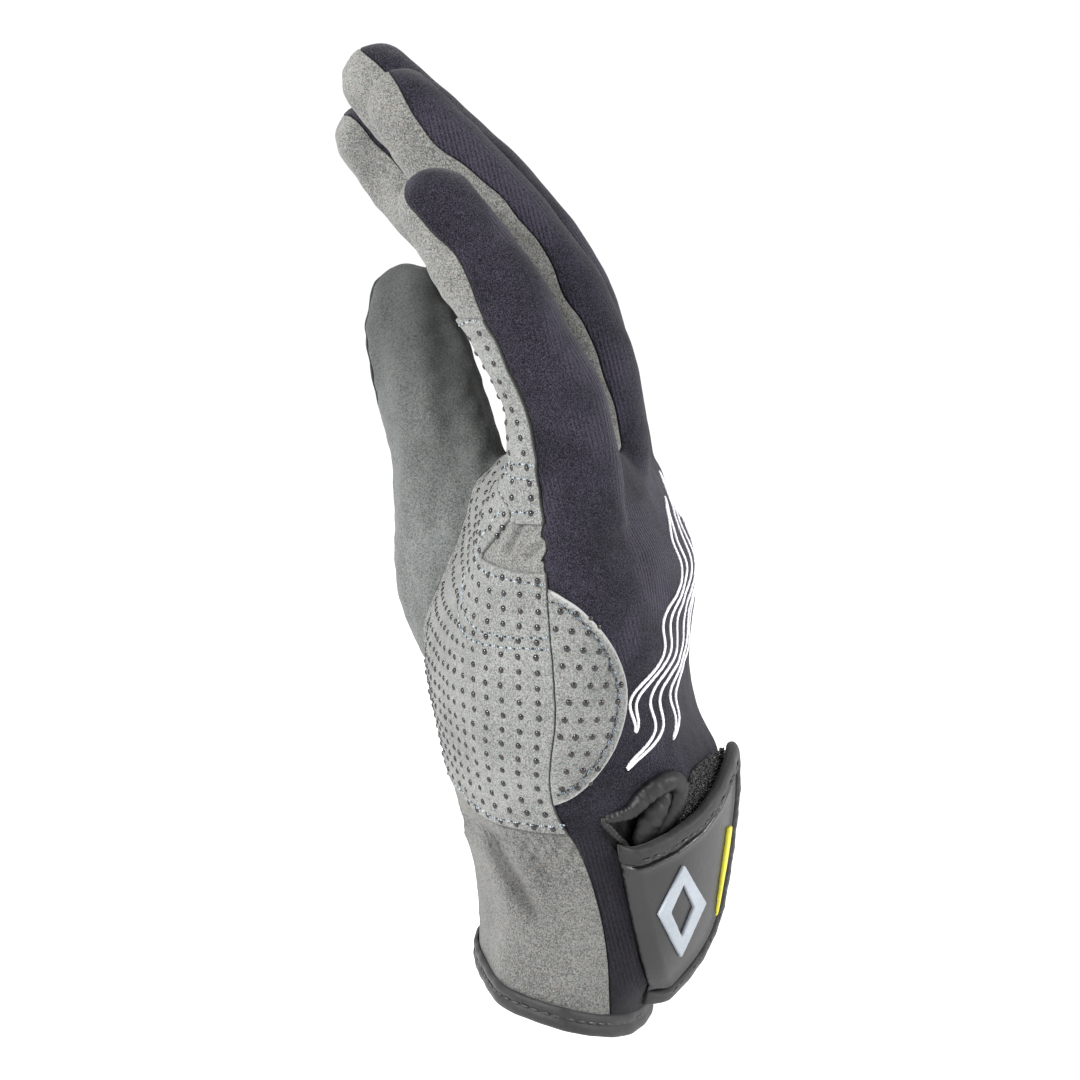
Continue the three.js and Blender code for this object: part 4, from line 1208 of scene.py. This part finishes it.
# Height of the lowest row and of the top, and the pitch along a row and from row to row
PALM_DOTS_LOW = 41.9
PALM_DOTS_TOP = 122
PALM_DOT_PITCH = (4.55, 3.28)
palm_dots = []
for row in range(27):
    level = PALM_DOTS_LOW + PALM_DOT_PITCH[1] * row + 0.22 * max(row - 7, 0)
    first = np.interp(level, [42, 52, 65, 75, 85, 97, 105], [2.2, 2.8, 3.5, 3.7, 3.1, 1.7, 1.5])
    for column in range(18):
        rise = (column * column * max(0.06 - 0.0045 * row, 0.02)
                + 0.26 * min(max(row - 13, 0), 7) * max(column - 3, 0))
        if level + rise < PALM_DOTS_TOP:
            palm_dots.append(palm_place(first + PALM_DOT_PITCH[0] * column, level + rise))
dotted("palm_dots", on_palm_patch, clear_of_brim(on_palm_patch, palm_dots, 1.0))

MOON_DOT_PITCH = (3.42, 4.12)
moon_dots = []
for row in range(12):
    for column in range(-1, 9):
        x = -0.9 + MOON_DOT_PITCH[0] * column - 0.99 * row
        z = 93.2 - MOON_DOT_PITCH[1] * row - 0.16 * (x + 1) * (1 - 0.14 * row)
        if -4 < x < 14.5:
            moon_dots.append(near_at(x, z))
dotted("half_moon_dots", on_half_moon, clear_of_brim(on_half_moon, moon_dots, 0.95))


def little_section(z):
    """x, y, half depth and half breadth of the little finger."""
    return blend_rows(np.array(FINGERS["little"], float)[:, [2, 0, 1, 3, 4]], np.array([float(z)]))[0]


finger_dots = []
for row in range(13):
    z = 114.6 + 3.43 * row
    middle = little_section(z)
    edge = float(blend_rows(NEAR_SEAMS["little"], np.array([z]))[0, 0])
    at_seam = 180 + math.degrees(math.asin(min((middle[0] - edge) / middle[2], 0.95)))
    slant = np.interp(z, [129, 150, 160], [0.12, 0.5, 0.65])
    for column in range(5):
        turn = math.radians(at_seam + 10.0 + 28.0 * column)
        x = middle[0] + middle[2] * math.sin(turn)
        y = middle[1] + middle[3] * math.cos(turn)
        finger_dots.append([x, y, z + slant * middle[2] * (math.sin(turn) + 0.75)])
dotted("little_finger_dots", on_finger_patch, clear_of_brim(on_finger_patch, finger_dots, 0.95))


# Stitch rows on the patches, given as y and z on the palm and as x and z on the half moon
def palm_line(rows):
    ys = np.linspace(rows[0][0], rows[-1][0], 60)
    return [palm_at(y, z) for y, z in zip(ys, blend_rows(rows, ys)[:, 0])]


def palm_path(rows):
    """A line on the palm through points given as y and z, which may run up as well as along."""
    length = run_of(rows)
    along = blend_rows(np.column_stack([length, rows]), np.linspace(0, length[-1], 40))
    return [palm_at(y, z) for y, z in along]


TOP_ROW = [[-46.6, 98.9], [-42, 99.5], [-38, 100.3], [-34, 101.1], [-31, 102]]
SIDE_ROW = [[-31, 102.6], [-31.4, 104.8], [-34, 108.3], [-36.6, 111.6], [-37.8, 114]]
BOTTOM_ROW = [[-44, 42.3], [-38, 42.3], [-25, 43.4], [-12, 46.4], [0, 48.9], [12, 49.9], [29, 49.5]]
QUILT_ROWS = [[[-46.6, 87.3], [-42.5, 86.5], [-37, 87.1], [-33, 88.2], [-27, 90.8], [-22, 94.4],
               [-17, 99.5], [-13, 105]],
              [[-46.4, 84.5], [-39.5, 84.2], [-34.5, 84.4], [-29, 85.6], [-23, 88.3], [-18, 92],
               [-13, 97.5]]]
stitched("palm_patch_stitches", on_palm_patch,
         [palm_line(TOP_ROW), palm_path(SIDE_ROW), palm_line(BOTTOM_ROW),
          *[palm_line(r) for r in QUILT_ROWS]],
         PALE_THREAD, "suede_dotted", pitch=2.3, long=1.5, wide=0.58, high=0.62, seed=3, reach=1.6)

MOON_ROW = [[-9, 96.3], [-3.8, 95.8], [-0.4, 94.2], [2.4, 92.2], [6.8, 87.0], [9.9, 81.0], [11.5, 74.6],
            [11.1, 68.2], [8.8, 61.2], [4.4, 55.1], [-1.0, 50.6], [-9, 49]]
moon_row = [p for p in rounded(MOON_ROW, 8) if p[0] > -3.4]
split_at = int(np.argmax(np.linalg.norm(np.diff(moon_row, axis=0), axis=1)))
moon_row = moon_row[split_at + 1:] + moon_row[:split_at + 1]
stitched("half_moon_stitches", on_half_moon, [[near_at(x, z) for x, z in moon_row]], GREY_THREAD,
         "suede_dotted", pitch=2.7, long=2.0, wide=0.8, high=0.9, sink=-0.14, seed=4, reach=1.6)


def round_little(z, start, end):
    """A line round the palm side of the little finger."""
    middle = little_section(z)
    slant = np.interp(z, [129, 150, 160], [0.05, 0.35, 0.5])
    turns = np.radians(np.linspace(start, end, 24))
    return [[middle[0] + middle[2] * math.sin(t), middle[1] + middle[3] * math.cos(t),
             z + slant * middle[2] * math.sin(t)] for t in turns]


stitched("little_finger_patch_stitches", on_finger_patch,
         [round_little(z, 214, 345) for z in (161.5, 126.2, 122.9, 115.2)], PALE_THREAD, "suede_dotted",
         pitch=2.2, long=1.45, wide=0.56, high=0.6, seed=5, reach=1.4)


# Binding tape round the hem
HEM_TURNS = 300
HEM_PROFILE = [(0.3, 3.0), (0.7, 3.05), (1.1, 2.75), (1.3, 1.9), (1.26, 1.2), (0.92, 0.75), (0.95, 0.45),
               (1.3, 0.0), (1.42, -0.9), (1.2, -1.9), (0.5, -2.5), (-0.9, -2.66), (-2.3, -2.4), (-3.1, -1.6),
               (-3.36, 0.0), (-3.3, 2.6), (-3.0, 3.1), (-2.34, 3.1), (-2.24, 1.0), (-1.6, -0.1), (-0.4, -0.1),
               (0.16, 0.9)]


def hem_line(turns, out=0.0, up=0.0):
    z = np.zeros(len(turns))
    for _ in range(12):
        at, away = section(z, turns)
        z = hem_z(at[:, 0], at[:, 1])
    return np.column_stack([at + away * np.reshape(out, (-1, 1)), z + up]), away


turns = np.arange(HEM_TURNS) / HEM_TURNS
base, away = hem_line(turns)
level = np.column_stack([away, hem_slope(base[:, 0]) * away[:, 0] + HEM_Y * away[:, 1]])
wave = 0.10 * np.sin(turns * 2 * np.pi * 9 + 1) + 0.07 * np.sin(turns * 2 * np.pi * 23)
rings = []
for u, v in HEM_PROFILE:
    swell = wave * (u > 0)
    rings.append(base + level * (u + swell)[:, None] + UP * (v + swell * 0.8 * (v > 2.6))[:, None])
count = len(HEM_PROFILE)
hem_points = np.stack(rings, 1).reshape(-1, 3)
hem_faces = np.array([(i * count + j, ((i + 1) % HEM_TURNS) * count + j,
                       ((i + 1) % HEM_TURNS) * count + (j + 1) % count, i * count + (j + 1) % count)
                      for i in range(HEM_TURNS) for j in range(count)])
piece("hem_binding", hem_points, facing_out(hem_points, hem_faces), TAPE, "tape")


# The stitches lie on the outside of the tape, this far out of the cloth and over the hem
HEM_STITCH_OUT = 1.12
HEM_STITCH_UP = 0.6
loop = np.append(turns, 1.0)
points, away = hem_line(loop, HEM_STITCH_OUT, HEM_STITCH_UP)
stitched_line("hem_stitches", Line(points, np.column_stack([away, np.zeros(len(loop))])), DARK_THREAD,
              "tape", pitch=2.9, long=2.3, wide=0.7, high=0.5, seed=1)


# Strap: a moulded tab sewn to the cuff, bound with tape along its lower edge, free end and top
STRAP_SEWN = [[18.2, -4], [19.3, 1.5], [17.5, 8.4], [15.1, 19], [13.3, 28.3], [12.1, 36]]
STRAP_TOP = [[12.1, 36], [16.5, 36.6], [22.2, 38.8], [28.5, 42.6], [32.2, 46.6], [36.5, 54], [41, 60],
             [60, 72]]
# Its lower edge as y and z, the other lines as x and z
STRAP_LOW = [[-40, -5.2], [-17.5, -3.9], [-15.5, -2.6], [-13.5, -0.6], [-11, 1.9], [-8, 4.5], [-5.5, 7.0],
             [-3.5, 10], [0, 17], [40, 97]]
STRAP_END_Y = -1.5
STRAP_IN = 2.5
STRAP_FACE = 3.75
TAPE_TOP = 4.75
TAPE_WIDE = 4.3
TAPE_PAST = 1.1
TAPE_EDGE = 3.35
STITCH_IN = 3.35


def cuff_net(z0, z1, dz, turn0, turn1, columns):
    """An even net of the cuff's own shape."""
    heights = np.arange(z0, z1, dz)
    z, turn = np.meshgrid(heights, np.linspace(turn0, turn1, columns), indexing="ij")
    at, away = section(z, turn)
    z = z.ravel().astype(float)
    points = np.column_stack([at, z])
    net = halves(loft_faces(len(heights), columns, close=False))
    facing = normals_of(points, net)
    if (facing[:, :2] * away).sum() < 0:
        net, facing = net[:, ::-1], -facing
    return Cloth(points, facing, net, {"x": at[:, 0], "y": at[:, 1], "z": z})


def softer_min(a, b, k):
    h = np.clip(0.5 + 0.5 * (b - a) / k, 0, 1)
    return b * (1 - h) + a * h - k * h * (1 - h)


strap_base = cuff_net(-16, 68, 0.7, -0.07, 0.225, 120)
x, y, z = (strap_base.marks[k] for k in "xyz")
sewn = np.array(STRAP_SEWN, float)
from_sewn = x - np.interp(z, sewn[:, 1], sewn[:, 0])
from_sewn = np.where(y > 8, 60.0, from_sewn)
top_line = np.array(STRAP_TOP, float)
below_top = (np.interp(x, top_line[:, 0], top_line[:, 1]) - z) * 0.86
low_line = np.array(STRAP_LOW, float)
above_low = (z - np.interp(y, low_line[:, 0], low_line[:, 1])) * 0.7
free = softer_min(softer_min(below_top, STRAP_END_Y - y, 2.5), above_low, 2.5)
strap_base.marks.update(sewn=from_sewn, free=free)


def strap_cut(past):
    """The tab, cut some way past its edge."""
    cloth = strap_base.copy().cut("sewn").cut("free", -past)
    edge = cloth.borders()
    cloth.measure("brim", edge[cloth.marks["sewn"][edge].min(1) > 0.3], 12.0)
    cloth.marks["brim"] *= 1 - 0.22 * smooth_step(10 - cloth.at[:, 2], 0, 9)
    return cloth


def strap_face_height(cloth):
    """The moulded face: a groove along the tape, then a ridge and a shallow field."""
    inner = cloth.marks["inner"]
    ridge = np.exp(-((inner - 1.35) / 0.4) ** 2) * 0.26 - np.exp(-((inner - 0.35) / 0.42) ** 2) * 0.9
    return STRAP_FACE + 0.25 + ridge - 0.22 * smooth_step(inner, 1.7, 3.4)


strap = strap_cut(-0.9)
strap.marks["inner"] = strap.marks["brim"] - (TAPE_WIDE - TAPE_PAST - 0.9)
strap.score("inner", -0.2, 0.1, 0.35, 0.6, 0.85, 1.1, 1.35, 1.7, 2.5, 3.2)
strap.score("sewn", 0.4, 0.9, 1.5, 2.2, 3.2)
sewn_in = strap.marks["sewn"]
near = (1 - np.clip(sewn_in / 3.2, 0, 1)) ** 2
under = smooth_step(sewn_in, 0.6, 5.0)
# rim: where the strap's face gets painted shadow, in the groove by the tape and along the sewn edge.
strap.marks["rim"] = np.minimum(np.abs(strap.marks["inner"] - 0.2) * 1.3 - 0.15, sewn_in * 1.6)
shell("strap_tab", strap, strap_face_height(strap) * (1 - near) + 0.7 * near,
      STRAP_IN * under - 0.2 * (1 - under), STRAP_RUBBER, "strap_rubber")

tape = strap_cut(TAPE_PAST)
tape.score("brim", TAPE_WIDE)
tape = tape.part(~tape.over("brim", TAPE_WIDE))
tape.score("brim", 0.12, 0.4, 0.9, 1.7, 2.6, 3.3, 3.9, 4.15)
lip = tape.marks["brim"]
near = (1 - np.clip(tape.marks["sewn"] / 3.0, 0, 1)) ** 2
puff = 0.10 * np.sin(tape.at[:, 2] * 0.9 + tape.at[:, 1] * 0.7) + 0.05 * np.sin(tape.at[:, 2] * 2.3)
stitch_dip = 0.24 * np.exp(-((lip - STITCH_IN) / 0.5) ** 2)
bulge = np.sqrt(np.clip(1 - (1 - np.clip(lip / 1.2, 0, 1)) ** 2, 0, 1))
tape_top = (TAPE_EDGE + (TAPE_TOP + 0.1 - TAPE_EDGE) * bulge - stitch_dip
            - 0.45 * smooth_step(lip, 3.95, 4.3) + puff * smooth_step(lip, 0.3, 1.5))
tape_low = 3.1 - 1.1 * bulge
shell("strap_binding", tape, tape_top * (1 - near) + 1.0 * near, tape_low * (1 - near) + 0.1 * near,
      TAPE, "tape")

edge = strap_cut(TAPE_PAST)
row = edge.cut("brim", STITCH_IN)
ends = row.borders()
ends = ends[((np.abs(row.marks["brim"][ends] - STITCH_IN) < 0.02) & (row.marks["sewn"][ends] > 2.4)).all(1)]


def chained(edges):
    """Edges put end to end as one line of points."""
    after = dict(edges.tolist())
    starts = set(after) - set(after.values())
    here = starts.pop() if starts else next(iter(after))
    line = [here]
    while here in after and len(line) <= len(edges):
        here = after[here]
        line.append(here)
    return np.array(line)


order = chained(ends)
stitched_line("strap_stitches", Line(row.at[order] + row.out[order] * (TAPE_TOP - 0.05), row.out[order]),
              DARK_THREAD, "tape", pitch=2.75, long=2.15, wide=0.5, high=0.45, seed=9)

# Raised shapes on the strap
LOZENGE = [[27, 9], [33, 20.5], [27.5, 32], [21.5, 20.5]]
LOZENGE_EYE = [[27.1, 14], [30, 20.5], [27.4, 27], [24.5, 20.5]]
YELLOW_BAR = [[35.6, 14.5], [39.7, 14.5], [42.5, 37], [38.6, 37]]


def raised(name, outline, eye, finish, slot):
    """A plain shape that stands off the strap's face; the eye is an opening in it."""
    flat = np.column_stack([strap.at[:, 0] + strap.out[:, 0] * 4, strap.at[:, 2]])
    zone = np.minimum(inside_by(flat, np.array(outline, float)), strap.marks["inner"] - 1.3)
    if eye:
        zone = np.minimum(zone, -inside_by(flat, np.array(eye, float)))
    cloth = strap.cut_to(zone)
    brim_of(cloth, 2.0)
    top = STRAP_FACE + 0.85 + rolled(cloth.marks["brim"], CUT_ROLL)
    shell(name, cloth, top, STRAP_FACE - 0.5, finish, slot)


raised("strap_lozenge", LOZENGE, LOZENGE_EYE, PALE_RUBBER, "pale_rubber")
raised("strap_bar", YELLOW_BAR, None, YELLOW_RUBBER, "yellow_rubber")

# Loop pile on the cuff under the strap
LOOP_PATCH = [[24, 33], [40, 33], [48, 47], [39, 52.5], [33.5, 54.5], [29.3, 53], [27.5, 49]]
pile = cuff_net(30, 58, 0.8, -0.02, 0.16, 70)
zone = inside_by(pile.at[:, [0, 2]], np.array(LOOP_PATCH, float))
pile = pile.cut_to(np.minimum(np.minimum(zone, pile.at[:, 1] + 30), 3 - pile.at[:, 1]))
brim_of(pile)
shell("loop_patch_base", pile, 0.85 + rolled(pile.marks["brim"], CUT_ROLL), 0.1, PILE_GROUND, "pile")
LOOPS = 1900
LOOP_SIZE = (1.0, 0.42, 0.2)
rng = np.random.default_rng(12)
corners = pile.at[pile.faces]
area = np.linalg.norm(np.cross(corners[:, 1] - corners[:, 0], corners[:, 2] - corners[:, 0]), axis=1)
chosen = rng.choice(len(area), LOOPS, p=area / area.sum())
share = rng.dirichlet((1, 1, 1), LOOPS)
spots = (corners[chosen] * share[:, :, None]).sum(1)
facing = pile.out[pile.faces[chosen]].mean(1)
lean = unit(facing + rng.normal(0, 0.35, facing.shape))
repeated("loop_pile", spots + facing * 0.95, np.cross(lean, rng.normal(size=lean.shape)), lean,
         rng.uniform(0.8, 1.2, LOOPS), PILE, "pile", *LOOP_SIZE, 8, 5)

# Gusset: thin coated cloth folded inside the slit. Folds: x, z, out of the cuff, half width, half height
GUSSET_ARCH = [(8.9, 43.6, 0.1, 0.9, 0.8), (11.4, 44.0, 0.4, 1.3, 1.2), (14.3, 45.0, 0.6, 1.7, 1.6),
               (17.0, 47.4, 0.8, 2.1, 1.9), (19.5, 49.9, 1.0, 2.3, 2.1), (22.0, 51.4, 1.1, 2.4, 2.2),
               (24.3, 51.3, 1.0, 2.4, 2.2), (25.6, 49.2, 0.9, 2.3, 2.1), (25.3, 46.2, 0.7, 2.2, 1.9),
               (24.1, 43.0, 0.3, 2.1, 1.7), (22.4, 39.6, -0.3, 1.9, 1.5), (21.0, 36.5, -0.8, 1.6, 1.3)]
GUSSET_LEAF = [(24.2, 49.3, -0.6, 1.3, 1.2), (22.6, 47.2, 0.0, 2.0, 1.6), (21.0, 44.6, 0.3, 2.7, 1.8),
               (19.7, 41.8, 0.2, 3.1, 1.8), (18.6, 38.8, -0.1, 3.0, 1.7), (17.6, 35.6, -0.6, 2.4, 1.5)]
GUSSET_LIP = [(8.5, 44.3, 0.0, 0.8, 0.7), (8.9, 43.0, 0.3, 0.85, 0.8), (10.1, 41.3, 0.4, 0.9, 0.8),
              (11.8, 39.3, 0.4, 0.9, 0.8), (13.3, 37.6, 0.3, 0.85, 0.75), (14.6, 35.6, 0.0, 0.8, 0.7)]


RINGS_PER_MM = 4
FOLD_FACING = np.array([0.5, -0.86, 0.0])


def fold_tube(rows, sides, pleats, seed):
    """One soft closed fold. Columns of pleats: depth, pitch, start, end, twist."""
    rows = np.asarray(rows, float)
    centres = np.array([near_at(*r[:3]) for r in rows])
    length = run_of(centres)
    s = np.linspace(0, length[-1], int(length[-1] * RINGS_PER_MM))
    data = blend_rows(np.column_stack([length, centres, rows[:, 3:]]), s)
    centre, wide, high = data[:, :3], data[:, 3], data[:, 4]
    along = unit(np.gradient(centre, s, axis=0))
    outward = unit(FOLD_FACING - along * (along @ FOLD_FACING)[:, None])
    side = np.cross(along, outward)
    angle = np.arange(sides) / sides * 2 * np.pi
    cover = np.sqrt(np.clip(1 - (1 - np.clip(np.minimum(s, s[-1] - s) / 1.2, 0, 1)) ** 2, 0.02, 1))
    ring = (centre[:, None] + side[:, None] * (wide[:, None] * cover[:, None] * np.cos(angle))[..., None]
            + outward[:, None] * (high[:, None] * cover[:, None] * np.sin(angle))[..., None])
    push = ring - centre[:, None]
    push /= np.linalg.norm(push, axis=2, keepdims=True)
    amount = np.zeros(ring.shape[:2])
    phase = 2 * np.pi * s[:, None]
    for depth, pitch, start, end, twist in pleats:
        window = smooth_step(s, start - 1, start + 1) * (1 - smooth_step(s, end - 1, end + 1))
        amount += depth * window[:, None] * np.cos(phase / pitch + twist * np.sin(angle)[None])
    flat = ring.reshape(-1, 3)
    stretch = np.column_stack([np.tile(np.cos(angle), len(s)) * 2.6, np.tile(np.sin(angle), len(s)) * 2.6,
                               np.repeat(s * 0.35, sides)])
    amount = amount.ravel() + 0.09 * plane_waves(stretch, 3.0, seed) + 0.04 * plane_waves(flat, 1.4, seed + 1)
    flat = flat + push.reshape(-1, 3) * (amount * np.repeat(cover, sides))[:, None]
    faces = halves(loft_faces(len(s), sides))
    around = np.arange(sides)
    for end in (0, len(s) - 1):
        flat = np.vstack([flat, ring[end].mean(0)])
        a, b = end * sides + around, end * sides + (around + 1) % sides
        middle = np.full(sides, len(flat) - 1)
        faces = np.vstack([faces, np.column_stack([a, b, middle] if end else [b, a, middle])])
    return flat, facing_out(flat, faces)


parts = [fold_tube(GUSSET_ARCH, 30, [(0.10, 1.15, 1.5, 7.0, 0.5), (0.10, 2.4, 9.0, 16.0, 0.9)], 21),
         fold_tube(GUSSET_LEAF, 34, [(0.12, 3.1, 2.0, 10.0, 1.4)], 23),
         fold_tube(GUSSET_LIP, 20, [(0.07, 1.2, 1.0, 8.0, 0.4)], 25)]
# The flat cloth behind the folds: how far it goes past the slit, and the depth of its two faces
LINING_PAST = 3.2
LINING_DEPTHS = (-2.25, -3.05)
lining = cuff_net(28, 60, 0.8, 0.05, 0.21, 60)
lining = lining.cut_to(inside_by(lining.at[:, [0, 2]], rounded(SLIT, 6)) + LINING_PAST)
dip = 0.9 * smooth_step(inside_by(lining.at[:, [0, 2]], rounded(SLIT, 6)), 0.0, 3.0)
folds = 0.2 * plane_waves(lining.at, 4, 31)
lining_points = np.vstack([lining.at + lining.out * (depth - dip + folds)[:, None]
                           for depth in LINING_DEPTHS])
parts.append((lining_points, lining.closed_faces()))
piece("gusset_folds", *joined(parts), GUSSET_CLOTH, "gusset_cloth")

# Embroidered ripples up the back of the hand, each an outline closed at both ends. Columns: z, turn
RIPPLE_LINE = np.array([[50, 0.170], [58, 0.150], [70, 0.120], [84, 0.078], [98, 0.040], [112, 0.008],
                        [122, -0.010]])
# Columns: to the side of the line, bottom, top, half breadth
RIPPLES = [(-6.4, 61, 108, 1.5), (0.0, 55.5, 119, 1.9), (6.2, 64, 114, 1.4)]


def ripple(shift, start, end, broad):
    s = np.linspace(0, 1, 300)
    s = np.concatenate([s, s[::-1]])
    which = np.repeat([1.0, -1.0], 300)
    z = start + (end - start) * s
    middle = shift + 2.2 * np.sin(2 * np.pi * z / 17.0) + which * broad * np.sin(np.pi * s) ** 0.55
    turn = blend_rows(RIPPLE_LINE, z)[:, 0] + middle / 205
    return Line(on_hand(z, turn), np.column_stack([section(z, turn)[1], np.zeros(len(z))]))


laid = []
for shift, start, end, broad in RIPPLES:
    line = ripple(shift, start, end, broad)
    at, facing, _ = on_back.drop(line.points, 5.0)
    laid.append(Line(at + facing * 0.14, facing))


satin("back_embroidery", laid, WHITE_THREAD, "neoprene", 0.4, 1.2, 0.5, 0.6, 0.8)


# Which pieces stand for which solids
for made, slot in finished:
    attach(made, "root")
HAND_BACK = ["back_panel", "little_back", "ring_back", "middle_back", "index_back"]
HAND_PALM = ["palm_panel", "little_palm", "ring_palm", "middle_palm", "index_palm"]
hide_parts(*HAND_BACK)
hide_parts(*HAND_PALM)
for name, node in (("thumb_suede_cloth", "thumb_pad"), ("thumb_neoprene_cloth", "thumb_back"),
                   ("palm_grip_patch", "palm_patch"), ("little_finger_grip_patch", "finger_patch"),
                   ("half_moon_grip_patch", "edge_patch"), ("hem_binding", "hem_tape"),
                   ("gusset_folds", "gusset"), ("loop_patch_base", "loop_patch"), ("strap_tab", "strap"),
                   ("strap_binding", "strap_tape"), ("strap_lozenge", "lozenge"),
                   ("strap_bar", "yellow_bar")):
    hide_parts(node)

# Floor, sky and lights
floor_mesh = bpy.data.meshes.new("floor")
floor_mesh.from_pydata([(-3, -2, -0.03), (3, -2, -0.03), (3, 6, -0.03), (-3, 6, -0.03)], [], [(0, 1, 2, 3)])
floor = placed("floor", floor_mesh)
paper = Finish("pale_floor", Roughness=0.9, Specular_IOR_Level=0.1)
paper.colour(paper.mix(linear((252, 252, 252)), linear((254, 254, 254)), paper.noise(30.0)))
floor_mesh.materials.append(paper.material)

world = bpy.data.worlds.new("studio")
world.use_nodes = True
world.node_tree.nodes["Background"].inputs["Color"].default_value = (1.0, 1.0, 1.0, 1.0)
world.node_tree.nodes["Background"].inputs["Strength"].default_value = 1.03
bpy.context.scene.world = world
bpy.context.scene.view_settings.view_transform = "Standard"


def soft_light(name, at, aim, wide, power):
    data = bpy.data.lights.new(name, "AREA")
    data.size = wide
    data.energy = power
    made = placed(name, data)
    made.location = at
    made.rotation_euler = (Vector(aim) - Vector(at)).to_track_quat("-Z", "Y").to_euler()


soft_light("key", (-0.85, -0.75, 0.75), (0, 0, 0.1), 0.35, 26.0)
soft_light("side", (0.95, -0.3, 0.45), (0.03, 0, 0.06), 0.3, 9.0)
